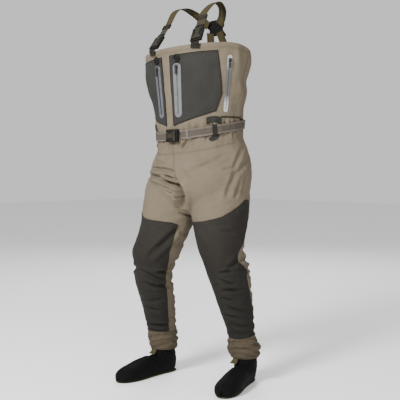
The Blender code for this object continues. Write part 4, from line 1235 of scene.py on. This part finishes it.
def make_bootie(side):
    """The neoprene sock, open at the ankle, with overlocked seams over the instep and along the sides."""
    rings = foot_rings(48)
    out = unit(rings - rings.mean(axis=1, keepdims=True))
    seed = 31 if side == "left" else 47
    lift = 0.0016 * noise(rings, 0.030, seed) + 0.0006 * noise(rings, 0.011, seed + 1)
    # Wrinkles across the instep and round the back of the ankle
    f, z = rings[..., 0], rings[..., 2]
    lift += 0.0022 * hump(f, 0.045, 0.040) * hump(z, 0.088, 0.030) * np.sin((f - z) * 260)
    lift += 0.0012 * hump(z, 0.085, 0.030) * hump(f, -0.05, 0.03) * np.sin(z * 330)
    lift *= (z > SOLE_THICKNESS + 0.003)
    outer = foot_to_design(side, rings + out * (lift - 0.0004)[..., None])
    inner = foot_to_design(side, rings - out * 0.0038)
    inner[..., 2] = np.maximum(inner[..., 2], SOLE_THICKNESS + 0.0035)
    several(
        f"{side}_neoprene_sock", [loft_part(np.concatenate([outer[::-1], inner]))], "neoprene", "neoprene",
        replaces=(f"{side}_bootie",), sharp=60,
    )
    seams = [tube_part(outer[34:92, 24] + (0, 0, 0.0004), 0.0013)]
    for rows, column in ((slice(30, 92), 14), (slice(30, 92), 34), (slice(3, 40), 0)):
        seams.append(tube_part(outer[rows, column], 0.0012))
    several(f"{side}_sock_seams", seams, "neoprene_seam", "neoprene")


def make_sole(side):
    """The thin rubber sole, with a groove round its edge."""
    half_widths = (
        (-0.064, 0.010), (-0.058, 0.022), (-0.045, 0.030), (-0.02, 0.034), (0.03, 0.033), (0.08, 0.035),
        (0.13, 0.042), (0.17, 0.0445), (0.205, 0.040), (0.228, 0.028), (0.240, 0.012),
    )
    corners = list(half_widths) + [(f, -w) for f, w in half_widths[::-1]]
    outline = through(corners + corners[:1], 133)[:-1]
    centre = outline.mean(0)
    outline = outline - np.sign(outline) * (0.0012, 0.0030)

    def ring(scale, z):
        return np.column_stack([centre + (outline - centre) * scale, np.full(len(outline), z)])

    rings = np.array([ring(scale, z) for scale, z in (
        (0.965, 0.0), (0.993, 0.0012), (1.0, 0.0030), (1.0, 0.0052), (0.985, SOLE_THICKNESS - 0.0002),
        (0.94, SOLE_THICKNESS),
    )])
    several(
        f"{side}_sole_rubber", [loft_part(foot_to_design(side, rings))], "olive", "olive_trim",
        replaces=(f"{side}_bootie_sole",),
    )
    line = foot_to_design(side, ring(1.002, 0.0040))
    groove = tube_part(np.concatenate([line, line[:1]]), 0.0005, 5)
    several(f"{side}_sole_groove", [groove], "neoprene_seam", "olive_trim")


def make_lace_tab(side):
    """The webbing tab that hangs from the front of the cuff."""
    level = np.linspace(0, 1, 16)[:, None]
    drop = 0.1056 - 0.0165 * level - TAB_TOP
    out = 0.0030 + 0.0165 * level ** 1.4
    grids = []
    for depth in (0.0020, 0.0002):
        rows = leg(side, np.linspace(-13, 13, 11)[None], TAB_TOP, out + depth)
        rows[..., 2] += drop
        grids.append(rows)
    skin(f"{side}_tab_loop", *grids, "olive", "olive_trim", replaces=(f"{side}_lace_tab",), sharp=60)
    parts = []
    for row in (2, 13):
        parts += stitch_parts(grids[0][row], 0.0030, 0.0020, 0.0004)
    several(f"{side}_tab_stitching", parts, "tan_thread", "olive_trim")


# ---------------------------------------------------------------- materials

def add_node(tree, kind, sources, values=None, operation=None):
    """A shader node, with outputs linked to its inputs and values set on others."""
    node = tree.nodes.new("ShaderNode" + kind)
    if operation:
        node.operation = operation
    for key, source in sources.items():
        tree.links.new(source, node.inputs[key])
    for key, value in (values or {}).items():
        node.inputs[key].default_value = value
    return node


def add_ramp(tree, source, stops):
    """The colours of a ramp whose stops are a position and a colour each, in order."""
    node = add_node(tree, "ValToRGB", {"Fac": source})
    elements = node.color_ramp.elements
    for element, (position, colour) in zip(elements, (stops[0], stops[-1])):
        element.position, element.color = position, (*colour, 1)
    for position, colour in stops[1:-1]:
        elements.new(position).color = (*colour, 1)
    return node.outputs["Color"]


def painted_light_by_height(tree, place, colour_out, stops):
    """A colour multiplied by another that changes with the height on the object: painted light and shade."""
    split = add_node(tree, "SeparateXYZ", {0: place})
    scaled = add_node(tree, "Math", {0: split.outputs["Z"]}, {1: 1 / RAMP_TOP}, "MULTIPLY")
    mixed = tree.nodes.new("ShaderNodeMix")
    mixed.data_type = "RGBA"
    mixed.blend_type = "MULTIPLY"
    mixed.inputs[0].default_value = 1.0
    tree.links.new(colour_out, mixed.inputs[6])
    tree.links.new(add_ramp(tree, scaled.outputs[0], stops), mixed.inputs[7])
    return mixed.outputs[2]


def woven(tree, place, size):
    """The height of a plain weave whose threads repeat at this size, in metres."""
    threads = []
    for axis in ((1, 1, 0), (0, 0, 1)):
        along = add_node(tree, "VectorMath", {0: place}, {1: axis}, "DOT_PRODUCT")
        wave = add_node(tree, "Math", {0: along.outputs["Value"]}, {1: 2 * math.pi / size}, "MULTIPLY")
        threads.append(add_node(tree, "Math", {0: wave.outputs[0]}, operation="SINE").outputs[0])
    return add_node(tree, "Math", dict(enumerate(threads)), operation="MULTIPLY").outputs[0]


def material(name, colour, roughness, weave=0.0, weave_size=0.0012, grain=0.10, metallic=0.0,
             coat=0.0, bump=0.25, blotch=0.0, low=None, band=None, crumple=0.0):
    """A Principled material with colour variation, and a weave or grain in its bump; low paints shade that
    darkens it towards the bottom, and band paints a dark reflection across a range of heights.
    """
    made = bpy.data.materials.new(name)
    made.use_nodes = True
    tree = made.node_tree
    shader = tree.nodes["Principled BSDF"]
    specular = 0.5 if coat or metallic else 0.12
    for key, value in (("Roughness", roughness), ("Metallic", metallic), ("Specular IOR Level", specular),
                       ("Coat Weight", coat)):
        shader.inputs[key].default_value = value
    place = tree.nodes.new("ShaderNodeTexCoord").outputs["Object"]
    scale = 9.0 if blotch else 60.0
    mixing = add_node(tree, "TexNoise", {"Vector": place}, {"Scale": scale, "Detail": 6.0})
    spread = max(grain, blotch)
    colour_out = add_ramp(tree, mixing.outputs["Fac"], (
        (0.30, [c * (1 - spread) for c in colour]), (0.70, [min(1, c * (1 + spread)) for c in colour]),
    ))
    white = (1, 1, 1)
    # Painted shade: the colour darkens towards the bottom, where the light falls off
    if low:
        share = [l / c for l, c in zip(low, colour)]
        colour_out = painted_light_by_height(tree, place, colour_out, ((0.18, share), (0.56, white)))
    # Painted reflection: a dark band across these heights stands in for what the film mirrors
    if band:
        bottom, top, shade = band
        colour_out = painted_light_by_height(tree, place, colour_out, (
            ((bottom - 0.03) / RAMP_TOP, white), (bottom / RAMP_TOP, [shade] * 3),
            ((top - 0.02) / RAMP_TOP, [shade] * 3), ((top + 0.02) / RAMP_TOP, white),
        ))
    tree.links.new(colour_out, shader.inputs["Base Color"])
    if weave:
        height = woven(tree, place, weave_size)
    else:
        fine = add_node(tree, "TexNoise", {"Vector": place}, {"Scale": 700.0, "Detail": 3.0})
        height = fine.outputs["Fac"]
    relief = add_node(tree, "Bump", {"Height": height}, {"Strength": weave or bump, "Distance": 0.0003})
    if crumple:
        # Small creases of slack cloth, finer than the mesh
        folds = add_node(tree, "TexNoise", {"Vector": place}, {
            "Scale": 17.0, "Detail": 5.0, "Roughness": 0.55, "Distortion": 1.6,
        })
        depth = {"Strength": crumple, "Distance": 0.006}
        creased = add_node(tree, "Bump", {"Height": folds.outputs["Fac"]}, depth)
        tree.links.new(creased.outputs["Normal"], relief.inputs["Normal"])
    tree.links.new(relief.outputs["Normal"], shader.inputs["Normal"])
    MATERIALS[name] = made


def make_materials():
    tan = (0.126, 0.102, 0.0715)
    # Painted shade: low darkens the tan towards the bottom of the waders
    material("tan", tan, 0.88, weave=0.35, blotch=0.08, low=(0.092, 0.075, 0.050), crumple=0.75)
    material("tan_hem", tan, 0.88, weave=0.35, blotch=0.05)
    # Painted shade: the cuffs' tan is darker for the light that falls off low down
    material("tan_cuff_painted_shade", (0.057, 0.045, 0.030), 0.88, weave=0.35, blotch=0.12, crumple=0.9)
    material("tan_seam", (0.1026, 0.0837, 0.0607), 0.9, weave=0.2)
    material("tan_thread", (0.0945, 0.0770, 0.0554), 0.8, bump=0.1)
    # Painted shade: low darkens the dark leg panels towards the ankles
    material("dark", (0.0198, 0.0176, 0.0147), 0.80, weave=0.40, weave_size=0.0016, blotch=0.12,
             low=(0.0118, 0.0107, 0.0088), crumple=0.75)
    material("dark_edge", (0.0135, 0.0124, 0.0105), 0.85, bump=0.2)
    material("dark_thread", (0.0135, 0.0130, 0.0116), 0.75, bump=0.1)
    material("pocket", (0.0228, 0.0222, 0.0196), 0.82, weave=0.40, weave_size=0.0016, blotch=0.08,
             crumple=0.45)
    material("piping", (0.0041, 0.0041, 0.0038), 0.75, bump=0.2)
    material("patch", (0.0189, 0.0184, 0.0154), 0.78, weave=0.4, weave_size=0.0018)
    material("loop", (0.0142, 0.0142, 0.0121), 0.75, weave=0.6, weave_size=0.0022)
    material("olive_tape", (0.0243, 0.0223, 0.0142), 0.80, weave=0.5, weave_size=0.0020)
    material("film", (0.1080, 0.1080, 0.1150), 0.40, coat=0.15, bump=0.04, grain=0.15)
    material("film_dark", (0.0648, 0.0675, 0.0756), 0.40, coat=0.15, bump=0.04, grain=0.15)
    # Painted reflection: band darkens the middle of the hand-warmer films
    material("film_bright", (0.4050, 0.4050, 0.4185), 0.30, metallic=0.3, coat=0.3, bump=0.03, grain=0.10,
             band=(1.150, 1.260, 0.22))
    material("film_edge", (0.1300, 0.1300, 0.1380), 0.36, coat=0.2, bump=0.03)
    material("zip_tape", (0.0378, 0.0392, 0.0432), 0.60, bump=0.2)
    material("coil", (0.0108, 0.0108, 0.0121), 0.45, bump=0.05)
    material("coil_grey", (0.062, 0.062, 0.066), 0.45, bump=0.05)
    material("tape_grey", (0.105, 0.105, 0.110), 0.45, bump=0.10)
    material("tab", (0.012, 0.011, 0.008), 0.80, weave=0.6, weave_size=0.0022)
    material("buckle_face", (0.020, 0.018, 0.011), 0.50, bump=0.15, grain=0.35)
    material("metal", (0.0243, 0.0243, 0.0230), 0.42, metallic=0.5, bump=0.06)
    material("webbing", (0.0640, 0.0530, 0.0435), 0.82, weave=0.7, weave_size=0.0024)
    material("webbing_edge", (0.1120, 0.0945, 0.0775), 0.80, weave=0.7, weave_size=0.0024)
    material("webbing_dark", (0.0360, 0.0290, 0.0205), 0.82, weave=0.7, weave_size=0.0024)
    material("band", (0.0068, 0.0068, 0.0057), 0.60, weave=0.5, weave_size=0.0020)
    material("elastic", (0.0459, 0.0378, 0.0162), 0.86, weave=0.8, weave_size=0.0022)
    material("elastic_line", (0.0108, 0.0095, 0.0054), 0.85, weave=0.5)
    material("plastic", (0.0072, 0.0070, 0.0052), 0.45, bump=0.10, grain=0.08)
    material("plastic_dark", (0.0027, 0.0027, 0.0024), 0.45, bump=0.05)
    material("yoke", (0.0041, 0.0041, 0.0038), 0.80, weave=0.4, weave_size=0.0018)
    material("neoprene", (0.0010, 0.0011, 0.0012), 0.85, weave=0.30, weave_size=0.0014, blotch=0.10)
    material("neoprene_seam", (0.0020, 0.0020, 0.0020), 0.78, bump=0.2)
    material("olive", (0.0432, 0.0392, 0.0149), 0.80, weave=0.5, weave_size=0.0020)


def dress_hardware():
    """Finer finishes on the buckles, adjusters, sliders and pulls, whose CAD shapes stay."""
    for name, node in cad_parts.items():
        if "buckle" in name or "adjuster" in name:
            node.material_slots[0].material = MATERIALS["plastic"]
        elif name.endswith(("slider", "pull")):
            node.material_slots[0].material = MATERIALS["metal"]


# ---------------------------------------------------------------- studio

def make_studio():
    floor = bpy.data.meshes.new("floor")
    reach = 14.0
    floor.from_pydata([(-reach, -reach, 0), (reach, -reach, 0), (reach, reach, 0), (-reach, reach, 0)], [],
                      [(0, 1, 2, 3)])
    plain = bpy.data.materials.new("studio_floor")
    plain.use_nodes = True
    shader = plain.node_tree.nodes["Principled BSDF"]
    shader.inputs["Base Color"].default_value = (0.90, 0.90, 0.90, 1)
    shader.inputs["Roughness"].default_value = 0.9
    shader.inputs["Specular IOR Level"].default_value = 0.0
    floor.materials.append(plain)
    add_object("studio_floor", floor)

    world = bpy.data.worlds.new("studio")
    world.use_nodes = True
    sky = world.node_tree.nodes["Background"]
    sky.inputs["Color"].default_value = (1.0, 1.0, 1.0, 1)
    sky.inputs["Strength"].default_value = 0.78
    bpy.context.scene.world = world

    for name, place, target, size, power in (
        ("key", (0.3, -3.4, 2.9), (0, 0, 0.8), 1.2, 295),
        ("fill", (3.4, -2.0, 2.0), (0, 0, 0.9), 1.6, 62),
        ("back", (-2.4, 3.0, 3.2), (0, 0, 1.0), 2.0, 95),
    ):
        lamp = bpy.data.lights.new(name, "AREA")
        lamp.shape = "DISK"
        lamp.size = size
        lamp.energy = power
        light = add_object(name, lamp)
        light.location = place
        light.rotation_euler = (Vector(target) - Vector(place)).to_track_quat("-Z", "Y").to_euler()


def make_camera():
    azimuth = math.radians(43.5)
    distance, height, aim = 3.116, 0.873, 0.738
    field = 0.528
    data = bpy.data.cameras.new("camera")
    data.sensor_width = 36.0
    data.lens = data.sensor_width / field
    camera = add_object("camera", data)
    place = (distance * math.sin(azimuth), -distance * math.cos(azimuth), height)
    camera.location = BASE + place
    camera.rotation_euler = (math.pi / 2 - math.atan((height - aim) / distance), 0, azimuth)
    bpy.context.scene.camera = camera


def make_zips(side):
    chest = CHEST_TWIST + SIGN[side] * CHEST_ZIP_ANGLE
    place = (f"{side}_chest", chest, 0.0155, CHEST_ZIP_HEIGHTS, 0.0036)
    if side == "left":
        make_zip(*place, "film", "film_edge")
        make_teeth(*place, "coil_grey", "tape_grey")
    else:
        make_zip(*place, "film_dark", "film_dark")
        make_teeth(*place, "coil", "zip_tape")
    hand = CHEST_TWIST + SIGN[side] * HAND_ZIP_ANGLE
    place = (f"{side}_hand", hand, 0.0098, HAND_ZIP_HEIGHTS, 0.0011)
    make_zip(*place, "film_bright", None)
    make_slit(*place)


def main():
    make_materials()
    make_camera()
    make_studio()
    tree = make_trousers()
    make_bib()
    make_seams(tree)
    for side, sign in SIGN.items():
        make_leg_front(tree, side)
        make_cuff(side)
        make_pocket(side)
        make_zips(side)
        make_garage(side)
        make_patch(side, LOOP_ANGLE * sign)
        make_lower_patch(tree, side, LOOP_ANGLE * sign)
        make_side_tape(side)
        make_loop(side, LOOP_ANGLE * sign)
        make_brace(side)
        make_bootie(side)
        make_sole(side)
        make_lace_tab(side)
    make_loop("back", 180.0)
    buckle = torso(0.0, belt_height(0.0), 0.0115) - (0.010, 0, 0)
    make_buckle_face("belt_buckle", buckle, (0, 0, 1), (1, 0, 0))
    make_belt()
    make_yoke()
    dress_hardware()


main()
